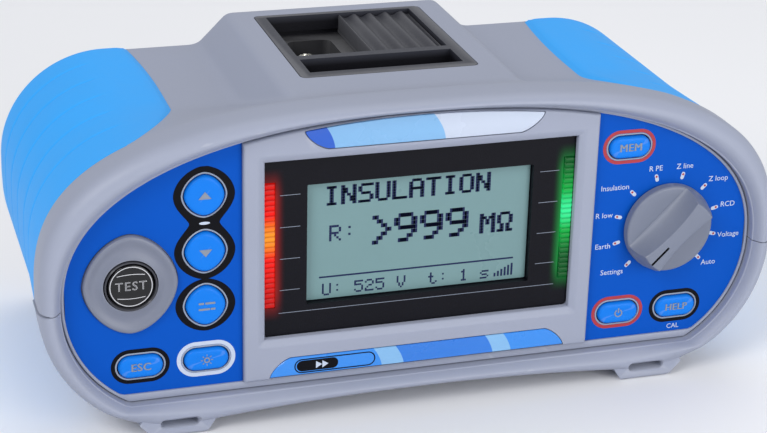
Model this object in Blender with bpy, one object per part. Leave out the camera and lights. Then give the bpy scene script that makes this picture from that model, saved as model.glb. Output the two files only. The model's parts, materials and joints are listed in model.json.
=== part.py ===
"""Insulation resistance tester: a bench and site instrument in a wide two-part case.

All sizes below are millimetres. x runs to the right, y to the rear with 0 at the face of the keypad
foils, and z up from the feet. build_mesh() turns them into metres and centres the depth on the origin.
"""
import math

import bmesh
import bpy
import numpy as np

MM = 0.001

# Overall form
WIDTH = 231.0               # over the front ring
RING_TOP = 100.2            # highest point of the front ring
BODY_REAR = 104.5           # rear face of the case, from the foils
RING_FRONT = 6.0            # how far the ring stands in front of the foils
SEAM_Z = 44.2               # joint between upper and lower case
RING_EXPONENT = 2.85        # squareness of the ring's upper curve
CORNER_X = 74.8             # where the lower corner curves start
CASE_BOTTOM = 2.5           # underside of the case beside the feet
BOTTOM_ARCH = 3.9           # rise of the underside at the middle
SLOPE_START = 8.0           # the ring is full size up to here
SLOPE_END = 43.0            # and has come down to the rear body here
BODY_HALF = 111.0           # rear body, half width
ROOF_ROOM = 15.2            # the rear body's top plane over the battery opening
BODY_CORNER = 32.5          # rear body, upper corner radius
REAR_EDGE = 1.8             # chamfer round the rear face
SIDE_WALL = 2.2
REAR_WALL = 5.0
GAP = 0.3                   # clearance between neighbouring pieces
SEAM_GAP = 0.3

# Front panel and foils
FOIL_HALF = 108.0
FOIL_TOP = 95.4
FOIL_BOTTOM = 13.7
FOIL_EXPONENT = 2.35
FOIL_CORNER_X = 71.0
FOIL_THICK = 0.5
RIM = 0.9                   # panel rim round the foils at top and sides
RIM_BOTTOM = 2.3            # and below them
RIM_PROUD = 0.6
LIP = 1.2                   # how far the case holds the panel behind the ring
PANEL_REAR = 3.5
FRAME_HALF = 55.2           # raised display frame
FRAME_PROUD = 2.0

# Display
WINDOW_HALF = 48.7
WINDOW_LOW = 27.0
WINDOW_HIGH = 84.0
MASK_FACE = 0.8
MASK_FLANGE = 3.3
LCD_HALF = 35.4
LCD_LOW = 36.5
LCD_HIGH = 75.2
LCD_FACE = 3.0
LCD_BORDER = 3.2
LCD_THICK = 4.5
BACKLIGHT_THICK = 2.0
BAR_WIDTH = 3.1
BAR_LOW = 36.7
BAR_HIGH = 76.6
BAR_FACE = 0.4

# Boards
BOARD_THICK = 1.6
FRONT_BOARD_Y = 11.0
FRONT_BOARD_HALF = 96.0
FRONT_BOARD_LOW = 17.0
FRONT_BOARD_HIGH = 80.0
MAIN_BOARD_Z = 14.0
MAIN_BOARD_HALF = 80.0
MAIN_BOARD_FRONT = 16.0
MAIN_BOARD_DEPTH = 58.0
BOARD_POST_INSET = (10.0, 8.0)
BOARD_POST_RADIUS = 3.0
TRANSFORMER_PLACE, TRANSFORMER_SIZE, TRANSFORMER_HEIGHT = (-32.0, 45.0), (26.0, 22.0), 18.0
BUZZER_PLACE, BUZZER_RADIUS, BUZZER_HEIGHT = (50.0, 42.0), 7.0, 5.5
FRONT_POST_HEIGHTS = (31.0, 66.0)

# Keys
KEY_PROUD = 1.3
KEY_TRAVEL = 1.0
KEY_GAP = 0.35
KEY_FLANGE = 1.0
DIAMOND_KEY = (11.9, 12.5)
OVAL_KEY = (13.4, 7.0)
NEAR_COLUMN = 11.2          # first key column, from the display frame's edge
FAR_COLUMN = 31.0           # second key column
KEY_ROWS = {"up": 75.4, "down": 57.7, "tab": 40.4, "low": 22.7, "memory": 78.6}
TEST_COLUMN = 33.4
TEST_Z = 49.6
TEST_RADIUS = 6.9
TEST_PROUD = 2.0
TEST_TRAVEL = 1.2
TEST_BEZEL_RADIUS = 7.8
SURROUND_SIZE = (27.8, 30.9)
SURROUND_PROUD = 1.6

# Function selector
KNOB_COLUMN = 25.2
KNOB_Z = 51.0
KNOB_RADIUS = 14.3
KNOB_DISC = 3.5
KNOB_HEIGHT = 10.2
KNOB_GRIP_FOOT = 6.5        # grip's half thickness where it meets the disc
KNOB_GRIP_INSET = 0.2       # grip's ends inside the disc's rim
KNOB_GRIP_LEAN = 2.0        # how far its ends lean in towards its face
KNOB_WAIST = 2.6            # half thickness of its face at the middle
KNOB_FLARE = 1.2            # and how much more at the ends
SHAFT_REACH = 1.0           # shaft's seat past the knob's disc
KNOB_REST_DEG = 225.0       # pointer direction at the first position, from +x towards +z
SHAFT_RADIUS = 3.0
SWITCH_SIZE = 22.0

# Raised block and connector panel on the top
HUMP_RISE = 10.2            # its flat top over the rear body
HUMP_HALF_TOP = 36.4
HUMP_HALF_FOOT = 45.6
HUMP_FOOT_RISE = 1.0
HUMP_FRONT = 14.0
HUMP_WALL = 2.5
HUMP_ROOT_DROP = 6.2        # root of the block's sides, under the rear body's top
HUMP_HOLLOW_DROP = 12.2     # and the lower end of the hollow under it
PANEL_HALF = 28.5
PANEL_FRONT = 34.2
PANEL_LENGTH = 63.9
PANEL_FLANGE = 1.5
PANEL_LIP = 1.0
PANEL_DEPTH = 16.4
PANEL_LEG_INSET = 4.5
RECESS_HALF = 24.8
RECESS_FRONT = 55.0
RECESS_LENGTH = 41.0
RECESS_DEPTH = 7.0
TROUGH_FRONT = 38.7
TROUGH_LENGTH = 12.7
TROUGH_DEPTH = 6.0
SLIDER_WIDTH = 24.4
SLIDER_THICK = 6.2
SLIDER_GROOVE = 1.1         # depth of the grooves between its ribs
SLIDER_BASE = 1.0
SLIDER_RIBS = 5
TRACK_DEPTH = 1.0
WELL_X = -12.0
WELL_Y = 80.0
WELL_SIZE = (15.0, 20.0)
SOCKET_X = 13.4
CHARGER_Y, CHARGER_RADIUS, CHARGER_BORE = 62.2, 4.5, 3.0
USB_Y, USB_SIZE, USB_BORE = 74.6, (12.0, 11.0), (8.4, 7.6)
SERIAL_Y, SERIAL_RADIUS, SERIAL_BORE = 88.2, 6.2, 4.6
SOCKET_SINK = 1.4           # socket mouths below the recess floor
TEST_SOCKET_SINK = 10.6
CONTACT_RADIUS = 2.4
CONTACT_SIDE, CONTACT_FRONT = 3.3, 6.2      # its axis from the well's left and front walls
CONTACT_SINK = 0.2          # its top below the recess floor

# Side covers
COVER_THICK = 2.0
COVER_STEP = 0.4            # cover sits this much below the ring at its front edge
COVER_PROUD = 1.2           # cover's top plane over the rear body
COVER_SIDE = 2.3            # cover's side over the rear body
COVER_FRONT = 8.0
COVER_SETBACK = 1.1         # cover's rear edge, from the rear face
COVER_INNER = 69.5          # inner edge on the top plane
COVER_FRONT_TOP = 87.0      # x of its upper end at the front edge
COVER_SWEEP = 0.55          # how early its upper edge turns inwards
COVER_LOW_DEG = -18.0

# Battery and fuse compartment
TUB_WALL = 1.6
TUB_SPARE = 1.6             # room between the cells and the inside of the rear wall
DOOR_THICK = 3.0
DOOR_SIDE_LEDGE = 4.6
DOOR_LOW_LEDGE = 4.0
DOOR_TOP_LEDGE = 7.6
DOOR_SCREW_X = 48.0
CELL_RADIUS = 7.25
CELL_LENGTH = 50.0
CELL_SPACE = 1.1            # between two rows of cells
HOLDER_WALL = 1.3
HOLDER_DEPTH = 13.0
HOLDER_SIDE_ROOM = 5.5
FUSE_RADIUS = 2.6
FUSE_LENGTH = 20.0
FUSE_SPACE = 6.0
FUSE_BLOCK = 8.4
FUSE_DEPTH = 7.0            # fuse axis from the back of its holder
DOOR_SCREW_SHIFT = 0.6      # door screws above the middle of the door's upper ledge
LABEL_SIZE = (84.0, 42.0)
LABEL_DROP = 4.0            # label's middle below the door's

# Fasteners, feet and strap slots
POST_X = 86.0
POST_FRONT_Y = 24.0
POST_REAR_SETBACK = 12.5
POST_RADIUS = 4.0
SCREW_RADIUS = 1.3
SCREW_HEAD_RADIUS = 2.8
SCREW_HEAD_HEIGHT = 1.8
SCREW_WELL = 12.0           # top of the wells that take the case screws' heads
CASE_SCREW_LENGTH = 44.0
FOOT_IN, FOOT_OUT = 67.9, 83.0
FOOT_SLOPE = 5.0
FOOT_LENGTH = 16.0
FOOT_FRONT_Y = -4.6
FOOT_REAR_SETBACK = 18.5
SLOT_LENGTH = 11.5
SLOT_HEIGHT = 2.4
SLOT_Z = 4.4
STRAP_ROOM = 0.6            # strap channel beyond the slot's ends

# Battery compartment, built outwards from the cells
CASE_SKIN = COVER_THICK + GAP + SIDE_WALL
OPENING_LOW = CASE_BOTTOM + BOTTOM_ARCH + CASE_SKIN + GAP + TUB_WALL
CELL_PITCH = 2 * CELL_RADIUS + CELL_SPACE
COLUMN_NEAR = HOLDER_WALL / 2
COLUMN_FAR = COLUMN_NEAR + CELL_LENGTH + 2 * GAP
HOLDER_LOW = OPENING_LOW + GAP
CELLS_LOW = HOLDER_LOW + HOLDER_WALL
CELLS_HIGH = CELLS_LOW + 2 * CELL_PITCH + 2 * CELL_RADIUS + 2 * GAP
HOLDER_HIGH = CELLS_HIGH + HOLDER_WALL
OPENING_HALF = COLUMN_FAR + HOLDER_WALL + HOLDER_SIDE_ROOM
OPENING_HIGH = HOLDER_HIGH + FUSE_BLOCK + 2 * GAP
TUB_REAR = BODY_REAR - REAR_WALL - GAP
TUB_FRONT = TUB_REAR - TUB_SPARE - 2 * CELL_RADIUS - 2 * GAP - HOLDER_WALL - TUB_WALL
HOLDER_FRONT = TUB_FRONT + TUB_WALL + GAP
CELL_Y = HOLDER_FRONT + HOLDER_WALL + CELL_RADIUS
FUSE_Z = HOLDER_HIGH + GAP + FUSE_BLOCK / 2
FUSE_Y = HOLDER_FRONT + FUSE_DEPTH + FUSE_RADIUS
FUSE_PITCH = FUSE_LENGTH + FUSE_SPACE
CONNECTOR_BOARD_Z = OPENING_HIGH + TUB_WALL + 2 * GAP

# Heights over the compartment, and places counted from the rear face
BODY_TOP = OPENING_HIGH + ROOF_ROOM
HUMP_TOP = BODY_TOP + HUMP_RISE
HUMP_FOOT_Z = BODY_TOP + HUMP_FOOT_RISE
COVER_REAR = BODY_REAR - COVER_SETBACK
POST_REAR_Y = BODY_REAR - POST_REAR_SETBACK
FOOT_REAR_Y = BODY_REAR - FOOT_REAR_SETBACK

TOTAL_DEPTH = KNOB_HEIGHT + BODY_REAR
SHIFT_Y = KNOB_HEIGHT - TOTAL_DEPTH / 2

MATERIALS = {
    "case_grey": ((0.40, 0.42, 0.50), 0.5, 0.0),
    "cover_blue": ((0.03, 0.40, 0.85), 0.55, 0.0),
    "foil_blue": ((0.01, 0.13, 0.60), 0.4, 0.0),
    "key_blue": ((0.05, 0.42, 0.85), 0.5, 0.0),
    "black_plastic": ((0.02, 0.02, 0.024), 0.45, 0.0),
    "gloss_black": ((0.008, 0.008, 0.01), 0.12, 0.0),
    "knob_grey": ((0.20, 0.21, 0.23), 0.5, 0.0),
    "lcd": ((0.45, 0.50, 0.52), 0.2, 0.0),
    "white_plastic": ((0.8, 0.8, 0.8), 0.5, 0.0),
    "red_bar": ((0.8, 0.03, 0.02), 0.3, 0.0),
    "green_bar": ((0.02, 0.6, 0.12), 0.3, 0.0),
    "board_green": ((0.02, 0.16, 0.06), 0.5, 0.0),
    "steel": ((0.6, 0.6, 0.6), 0.3, 1.0),
    "nickel": ((0.7, 0.68, 0.62), 0.25, 1.0),
    "cell_sleeve": ((0.1, 0.3, 0.12), 0.4, 0.0),
    "fuse_ceramic": ((0.85, 0.83, 0.78), 0.4, 0.0),
    "badge": ((0.35, 0.62, 0.9), 0.35, 0.0),
    "label": ((0.75, 0.76, 0.78), 0.5, 0.0),
}


# ---------------------------------------------------------------- scene and mesh helpers

def clear_scene():
    for thing in list(bpy.data.objects):
        bpy.data.objects.remove(thing)


def material(name):
    found = bpy.data.materials.get(name)
    if found:
        return found
    colour, roughness, metallic = MATERIALS[name]
    made = bpy.data.materials.new(name)
    made.use_nodes = True
    shader = made.node_tree.nodes["Principled BSDF"]
    shader.inputs["Base Color"].default_value = (*colour, 1.0)
    shader.inputs["Roughness"].default_value = roughness
    shader.inputs["Metallic"].default_value = metallic
    return made


def loft(loops):
    """A closed solid as (points, faces): equal loops skinned in order, with a face on each end."""
    loops = [np.asarray(loop, float) for loop in loops]
    count = len(loops[0])
    points = np.concatenate(loops)
    faces = [tuple(range(count))[::-1]]
    for k in range(len(loops) - 1):
        near, far = k * count, (k + 1) * count
        for i in range(count):
            j = (i + 1) % count
            faces.append((near + i, near + j, far + j, far + i))
    faces.append(tuple(range((len(loops) - 1) * count, len(loops) * count)))
    return points, faces


def build_mesh(name, solids, origin=(0.0, 0.0, 0.0), smooth_deg=35.0):
    """One mesh in metres from one or more (points, faces) solids in millimetres."""
    bm = bmesh.new()
    for points, faces in solids:
        verts = [bm.verts.new((x, y, z)) for x, y, z in points]
        for face in faces:
            bm.faces.new([verts[i] for i in face])
    bmesh.ops.remove_doubles(bm, verts=bm.verts, dist=1e-4)
    bmesh.ops.dissolve_degenerate(bm, dist=1e-4, edges=bm.edges)
    bmesh.ops.recalc_face_normals(bm, faces=bm.faces)
    bmesh.ops.translate(bm, verts=bm.verts, vec=(-origin[0], -origin[1], -origin[2]))
    bmesh.ops.scale(bm, verts=bm.verts, vec=(MM, MM, MM))
    mesh = bpy.data.meshes.new(name)
    bm.to_mesh(mesh)
    bm.free()
    mesh.shade_smooth()
    mesh.set_sharp_from_angle(angle=math.radians(smooth_deg))
    return mesh


def add(name, solids, material_name, origin=(0.0, 0.0, 0.0)):
    """A named piece. Its origin is a point in the design's millimetres."""
    piece = bpy.data.objects.new(name, build_mesh(name, solids, origin))
    piece.location = (origin[0] * MM, (origin[1] + SHIFT_Y) * MM, origin[2] * MM)
    piece.data.materials.append(material(material_name))
    bpy.context.scene.collection.objects.link(piece)
    return piece


def boolean(piece, solids, operation):
    """Joins or cuts solids that don't overlap each other. They stay in the file as one hidden tool."""
    tool = add(f"{piece.name}_{operation.lower()}_{len(piece.modifiers)}", solids, "case_grey")
    tool.hide_render = True
    tool.display_type = "WIRE"
    step = piece.modifiers.new(operation.title(), "BOOLEAN")
    step.operation = operation
    step.solver = "EXACT"
    step.object = tool


def cut(piece, *solids):
    boolean(piece, solids, "DIFFERENCE")


def join(piece, *solids):
    boolean(piece, solids, "UNION")


# ---------------------------------------------------------------- outlines, as (n, 2) arrays

def ellipse(centre, size, exponent=2.0, count=20):
    """Closed curve |u/a|^n + |v/b|^n = 1; the exponent 2 is round, lower is a diamond."""
    angle = np.arange(count) * 2 * np.pi / count
    c, s = np.cos(angle), np.sin(angle)
    u = np.sign(c) * np.abs(c) ** (2 / exponent) * size[0] / 2
    v = np.sign(s) * np.abs(s) ** (2 / exponent) * size[1] / 2
    return np.column_stack([centre[0] + u, centre[1] + v])


def circle(centre, radius, count=20):
    return ellipse(centre, (2 * radius, 2 * radius), 2.0, count)


def rounded(centre, size, radius, per_corner=4):
    """Rectangle with round corners."""
    turn = np.linspace(0, np.pi / 2, per_corner)
    arcs = []
    for k, (sx, sy) in enumerate([(1, 1), (-1, 1), (-1, -1), (1, -1)]):
        mid = (centre[0] + sx * (size[0] / 2 - radius), centre[1] + sy * (size[1] / 2 - radius))
        a = turn + k * np.pi / 2
        arcs.append(np.column_stack([mid[0] + radius * np.cos(a), mid[1] + radius * np.sin(a)]))
    return np.concatenate(arcs)


def oval(centre, size, grow=0.0, per_corner=4):
    wide, high = size[0] + 2 * grow, size[1] + 2 * grow
    return rounded(centre, (wide, high), high / 2 - 0.01, per_corner)


def diamond(centre, size, grow=0.0, count=20):
    """Rounded diamond: a superellipse a little fuller than a rhombus."""
    return ellipse(centre, (size[0] + 2 * grow, size[1] + 2 * grow), 1.75, count)


def facing(outline, y):
    """Places an x-z outline at depth y."""
    return np.column_stack([outline[:, 0], np.full(len(outline), y), outline[:, 1]])


def lying(outline, z):
    """Places an x-y outline at height z."""
    return np.column_stack([outline, np.full(len(outline), z)])


def along_y(outline, *levels):
    """Solid from an x-z outline carried along y."""
    return loft([facing(outline, y) for y in levels])


def along_z(outline, *levels):
    """Solid from an x-y outline carried along z."""
    return loft([lying(outline, z) for z in levels])


def turned_y(centre, profile, count=20):
    """Solid turned about an axis along y, from (radius, y) pairs."""
    return loft([facing(circle(centre, radius, count), y) for radius, y in profile])


def block(low, high):
    """Box between two corners."""
    mid = ((low[0] + high[0]) / 2, (low[1] + high[1]) / 2)
    size = (high[0] - low[0], high[1] - low[1])
    corners = np.array([(-1, -1), (1, -1), (1, 1), (-1, 1)]) * np.array(size) / 2 + np.array(mid)
    return along_z(corners, low[2], high[2])


def rod_x(centre_yz, radius, x0, x1, count=16):
    """Cylinder along x."""
    ring = circle(centre_yz, radius, count)
    return loft([np.column_stack([np.full(count, x), ring]) for x in (x0, x1)])


def mirrored(outline):
    """The outline on the other side, x reversed."""
    return outline[::-1] * np.array([-1, 1])


# ---------------------------------------------------------------- the case's outlines

def half_to_radius(half):
    """Radius from the middle of the seam as a function of angle, from the points of one half."""
    loop = np.concatenate([half, mirrored(half)])
    angle = np.arctan2(loop[:, 1] - SEAM_Z, loop[:, 0]) % (2 * np.pi)
    radius = np.hypot(loop[:, 0], loop[:, 1] - SEAM_Z)
    order = np.argsort(angle)
    return lambda at: np.interp(at, angle[order], radius[order], period=2 * np.pi)


def lower_half(half_width):
    """Right half of the underside: shallow arch to the corner, then a quarter ellipse up to the seam."""
    x = np.linspace(0, CORNER_X, 12)
    arch = np.column_stack([x, CASE_BOTTOM + BOTTOM_ARCH * (1 - (x / CORNER_X) ** 2)])
    t = np.linspace(-np.pi / 2, 0, 30)[1:]
    corner = np.column_stack([CORNER_X + (half_width - CORNER_X) * np.cos(t),
                              SEAM_Z + (SEAM_Z - CASE_BOTTOM) * np.sin(t)])
    return np.concatenate([arch, corner])


def superellipse_top(half_width, top, exponent):
    t = np.linspace(0, np.pi / 2, 60)[1:]
    return np.column_stack([half_width * np.cos(t) ** (2 / exponent),
                            SEAM_Z + (top - SEAM_Z) * np.sin(t) ** (2 / exponent)])


def cornered_top(half_width, top, radius):
    t = np.linspace(0, np.pi / 2, 30)
    arc = np.column_stack([half_width - radius + radius * np.cos(t), top - radius + radius * np.sin(t)])
    x = np.linspace(half_width - radius, 0, 12)[1:]
    return np.concatenate([arc, np.column_stack([x, np.full(len(x), top)])])


def panel_half(grow, floor):
    """Right half of the foil outline, grown by some rim: flat floor, corner arc, superellipse top."""
    radius = FOIL_HALF - FOIL_CORNER_X + grow
    low = -math.asin(min(1.0, (SEAM_Z - floor) / radius))
    t = np.linspace(low, 0, 24)
    corner = np.column_stack([FOIL_CORNER_X + radius * np.cos(t), SEAM_Z + radius * np.sin(t)])
    x = np.linspace(0, corner[0, 0], 12)[:-1]
    flat = np.column_stack([x, np.full(len(x), floor)])
    top = superellipse_top(FOIL_HALF + grow, FOIL_TOP + grow, FOIL_EXPONENT)
    return np.concatenate([flat, corner, top])


ring_radius = half_to_radius(np.concatenate([
    lower_half(WIDTH / 2), superellipse_top(WIDTH / 2, RING_TOP, RING_EXPONENT)]))
body_radius = half_to_radius(np.concatenate([
    lower_half(BODY_HALF), cornered_top(BODY_HALF, BODY_TOP, BODY_CORNER)]))
cover_radius = half_to_radius(np.concatenate([
    lower_half(BODY_HALF + COVER_SIDE),
    cornered_top(BODY_HALF + COVER_SIDE, BODY_TOP + COVER_PROUD, BODY_CORNER + COVER_SIDE)]))
opening_radius = half_to_radius(panel_half(RIM + GAP, FOIL_BOTTOM - RIM_BOTTOM - GAP))
rim_radius = half_to_radius(panel_half(RIM, FOIL_BOTTOM - RIM_BOTTOM))


def slope(y):
    """0 at the ring, 1 on the rear body, straight in between."""
    return float(np.clip((y - SLOPE_START) / (SLOPE_END - SLOPE_START), 0, 1))


def inset(radius_of, distance):
    """The outline moved inwards square to itself."""
    angle = np.arange(720) * np.pi / 360
    radius = radius_of(angle)
    x, z = radius * np.cos(angle), radius * np.sin(angle)
    run, rise = np.roll(x, -1) - np.roll(x, 1), np.roll(z, -1) - np.roll(z, 1)
    length = np.hypot(run, rise)
    x, z = x - distance * rise / length, z + distance * run / length
    moved = np.arctan2(z, x) % (2 * np.pi)
    order = np.argsort(moved)
    return lambda at: np.interp(at, moved[order], np.hypot(x, z)[order], period=2 * np.pi)


def body_at(angle, y):
    s = slope(y)
    return (1 - s) * ring_radius(angle) + s * body_radius(angle)


def cover_layer(depth):
    """A surface at some depth under the cover's outer face, as a function of angle and y."""
    front, rear = inset(ring_radius, COVER_STEP + depth), inset(cover_radius, depth)
    return lambda angle, y: (1 - slope(y)) * front(angle) + slope(y) * rear(angle)


cover_face = cover_layer(0.0)
cavity_face = cover_layer(COVER_THICK + GAP + SIDE_WALL)
mid_wall = cover_layer(COVER_THICK + GAP + SIDE_WALL / 2)


def cavity_at(angle, y):
    inner = cavity_face(angle, y)
    if y < SLOPE_START + 6:
        inner = np.maximum(inner, opening_radius(angle) + LIP)
    return inner


def polar_loop(radius, angle, y):
    radius = np.broadcast_to(radius, angle.shape)
    return np.column_stack([radius * np.cos(angle), np.full(len(angle), y),
                            SEAM_Z + radius * np.sin(angle)])


def even_angles(radius_of, start, end, count):
    """Angles that space count points evenly along an outline."""
    angle = np.linspace(start, end, 2000)
    radius = radius_of(angle)
    steps = np.hypot(np.diff(radius * np.cos(angle)), np.diff(radius * np.sin(angle)))
    length = np.concatenate([[0], np.cumsum(steps)])
    return np.interp(np.linspace(0, length[-1], count), length, angle)


def corner_angle():
    """Direction of the foil opening's lower corner, below the seam."""
    low = FOIL_BOTTOM - RIM_BOTTOM - GAP - SEAM_Z
    radius = FOIL_HALF - FOIL_CORNER_X + RIM + GAP
    return math.atan2(low, FOIL_CORNER_X + math.sqrt(radius ** 2 - low ** 2))


UPPER_ANGLES = even_angles(ring_radius, 0.0, np.pi, 33)
LOWER_ANGLES = np.sort(np.append(even_angles(ring_radius, np.pi, 2 * np.pi, 29),
                                 [2 * np.pi + corner_angle(), np.pi - corner_angle()]))


# ---------------------------------------------------------------- case halves

def half_shell(angle):
    """Half of the case: its wall profile, ring included, carried round from one side to the other."""
    count = len(angle)
    ring, opening = ring_radius(angle), opening_radius(angle)
    stations = [(BODY_REAR, np.zeros(count)), (BODY_REAR, body_at(angle, BODY_REAR) - REAR_EDGE),
                (BODY_REAR - REAR_EDGE, body_at(angle, BODY_REAR))]
    for y in (SLOPE_END, (SLOPE_START + SLOPE_END) / 2, SLOPE_START):
        stations.append((y, body_at(angle, y)))
    for share, forward in ((1.0, 0.25), (0.85, 0.8), (0.45, 1.0), (0.12, 0.9), (0.0, 0.6)):
        stations.append((-forward * RING_FRONT, opening + share * (ring - opening)))
    stations.append((FOIL_THICK, opening))
    for y in (FOIL_THICK, SLOPE_START, SLOPE_END, BODY_REAR - REAR_WALL):
        stations.append((y, cavity_at(angle, y)))
    stations.append((BODY_REAR - REAR_WALL, np.zeros(count)))
    loops = [polar_loop(radius, angle, y) for y, radius in stations]
    rows, columns = len(loops), count
    points = np.concatenate(loops)
    faces = []
    for k in range(rows - 1):
        for i in range(columns - 1):
            near, far = k * columns + i, (k + 1) * columns + i
            faces.append((near, near + 1, far + 1, far))
    faces.append(tuple(k * columns for k in range(rows)))
    faces.append(tuple(k * columns + columns - 1 for k in range(rows))[::-1])
    lift = SEAM_GAP / 2 * (1 if angle[0] == 0 else -1)
    ends = np.isin(np.arange(len(points)) % columns, (0, columns - 1))
    points[ends | (np.hypot(points[:, 0], points[:, 2] - SEAM_Z) < 1e-6), 2] += lift
    return clean_faces(points, faces)


def clean_faces(points, faces):
    """Drops the points that coincide at the middle of the rear wall, and faces that vanish there."""
    keys, index, kept = {}, [], []
    for p in points:
        key = tuple(np.round(p, 4))
        if key not in keys:
            keys[key] = len(kept)
            kept.append(p)
        index.append(keys[key])
    made = []
    for face in faces:
        ring = []
        for i in face:
            if index[i] not in ring:
                ring.append(index[i])
        if len(ring) > 2:
            made.append(ring)
    return np.array(kept), made


def cover_patch(side, grow, depth, out):
    """A patch of the cover's surface as a closed solid, from depth below its face to out above it."""
    top_face, low_face = cover_layer(-out), cover_layer(depth)
    columns = 10
    swept = np.array([0.08, 0.25, 0.5, 0.75, 1.0])
    rows = [(COVER_FRONT + GAP - grow, 0.0)]
    rows += [(COVER_FRONT + (SLOPE_END - COVER_FRONT) * share, share) for share in swept]
    rows += [((SLOPE_END + COVER_REAR) / 2, 1.0), (COVER_REAR + grow, 1.0)]
    inner, outer = [], []
    for station, share in rows:
        low = math.radians(COVER_LOW_DEG)
        edge_x = COVER_INNER + (COVER_FRONT_TOP - COVER_INNER) * (1 - share ** COVER_SWEEP)
        fan = np.linspace(0.2, 1.4, 400)
        reach = cover_face(fan, station) * np.cos(fan)
        top, grown_top = np.interp((-edge_x, grow - edge_x), -reach, fan)
        angle = np.linspace(low, top, columns)
        angle[0] -= grow / cover_face(low, station)
        angle[-1] = grown_top
        outer.append(polar_loop(top_face(angle, station), angle, station))
        inner.append(polar_loop(low_face(angle, station), angle, station))
    loops = [np.concatenate([o, i[::-1]]) for o, i in zip(outer, inner)]
    if side < 0:
        loops = [loop * np.array([-1, 1, 1]) for loop in loops]
    return loft(loops)


def trapezoid_prism(top_z, top_half, foot_half, front, rear, bottom_z, edge):
    """The raised block: sloped sides, softened upper edges, carried along y."""
    lean = (foot_half - top_half) / (HUMP_TOP - HUMP_FOOT_Z)
    low_half = foot_half + (HUMP_FOOT_Z - bottom_z) * lean
    section = [(low_half, bottom_z), (top_half + edge * lean, top_z - edge), (top_half - edge, top_z)]
    outline = np.array(section + [(-x, z) for x, z in reversed(section)])
    return along_y(outline, front, rear)


def foot(side, front):
    """Foot block with sloped ends, standing on z = 0."""
    top = CASE_BOTTOM + 3.0
    section = np.array([(FOOT_IN - FOOT_SLOPE * 0.8, top), (FOOT_IN, 0.0), (FOOT_OUT, 0.0),
                        (FOOT_OUT + FOOT_SLOPE * 1.4, top)])
    if side < 0:
        section = mirrored(section)
    return along_y(section, front, front + FOOT_LENGTH)


def posts(places, radius, low, high):
    return [along_z(circle((x, y), radius, 12), low, high) for x, y in places]


def wall_height(x, y, side):
    """Height of the middle of the wall above (side 1) or below (side -1) the point x, y."""
    fan = np.linspace(0.05, 1.5, 400)
    radius = mid_wall(side * fan, y)
    at = float(np.interp(-abs(x), -radius * np.cos(fan), fan))
    return SEAM_Z + side * float(np.interp(at, fan, radius)) * math.sin(at)


def post_top(x, y):
    """Upper end of a screw post: inside the wall at its outer edge, where the roof is lowest."""
    return wall_height(abs(x) + POST_RADIUS, y, 1)


POSTS = [(sx * POST_X, y) for sx in (-1, 1) for y in (POST_FRONT_Y, POST_REAR_Y)]
BOARD_POSTS = [(sx * (MAIN_BOARD_HALF - BOARD_POST_INSET[0]), y) for sx in (-1, 1)
               for y in (MAIN_BOARD_FRONT + BOARD_POST_INSET[1],
                         MAIN_BOARD_FRONT + MAIN_BOARD_DEPTH - BOARD_POST_INSET[1])]
DOOR_LOW = OPENING_LOW - DOOR_LOW_LEDGE
DOOR_HIGH = OPENING_HIGH + DOOR_TOP_LEDGE
DOOR_HALF = OPENING_HALF + DOOR_SIDE_LEDGE
DOOR_SCREW_Z = OPENING_HIGH + DOOR_TOP_LEDGE / 2 + DOOR_SCREW_SHIFT
BATTERY_HOLE = block((-OPENING_HALF, BODY_REAR - REAR_WALL - 2, OPENING_LOW),
                     (OPENING_HALF, BODY_REAR + 2, OPENING_HIGH))
DOOR_REBATE = block((-DOOR_HALF - GAP, BODY_REAR - DOOR_THICK - GAP, DOOR_LOW - GAP),
                    (DOOR_HALF + GAP, BODY_REAR + 2, DOOR_HIGH + GAP))


def pockets(side):
    return cover_patch(side, GAP, COVER_THICK + GAP, 6.0)


def upper_case():
    case = add("upper_case", [half_shell(UPPER_ANGLES)], "case_grey")
    join(case, trapezoid_prism(HUMP_TOP, HUMP_HALF_TOP, HUMP_HALF_FOOT, HUMP_FRONT, BODY_REAR,
                                BODY_TOP - HUMP_ROOT_DROP, 1.6))
    cut(case, trapezoid_prism(HUMP_TOP - HUMP_WALL, HUMP_HALF_TOP - HUMP_WALL, HUMP_HALF_FOOT - HUMP_WALL,
                              HUMP_FRONT + 14, BODY_REAR - REAR_WALL, BODY_TOP - HUMP_HOLLOW_DROP, 1.0))
    mid_y = PANEL_FRONT + PANEL_LENGTH / 2
    hole = (2 * (PANEL_HALF - PANEL_LIP + GAP), PANEL_LENGTH - 2 * PANEL_LIP + 2 * GAP)
    rebate = (2 * (PANEL_HALF + GAP), PANEL_LENGTH + 2 * GAP)
    cut(case, along_z(rounded((0, mid_y), hole, 1.5), HUMP_TOP - PANEL_DEPTH, HUMP_TOP + 2))
    cut(case, along_z(rounded((0, mid_y), rebate, 2.2), HUMP_TOP - PANEL_FLANGE - GAP, HUMP_TOP + 2))
    cut(case, pockets(1), pockets(-1))
    join(case, *[along_z(circle(place, POST_RADIUS, 12), SEAM_Z + SEAM_GAP / 2, post_top(*place))
                 for place in POSTS])
    cut(case, *posts(POSTS, SCREW_RADIUS + GAP, SEAM_Z - 2, SEAM_Z + 12))
    cut(case, BATTERY_HOLE)
    cut(case, DOOR_REBATE)
    door_holes = [along_y(circle((sx * DOOR_SCREW_X, DOOR_SCREW_Z), SCREW_RADIUS + GAP, 12),
                          BODY_REAR - REAR_WALL - 1, BODY_REAR) for sx in (-1, 1)]
    cut(case, *door_holes)


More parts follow.
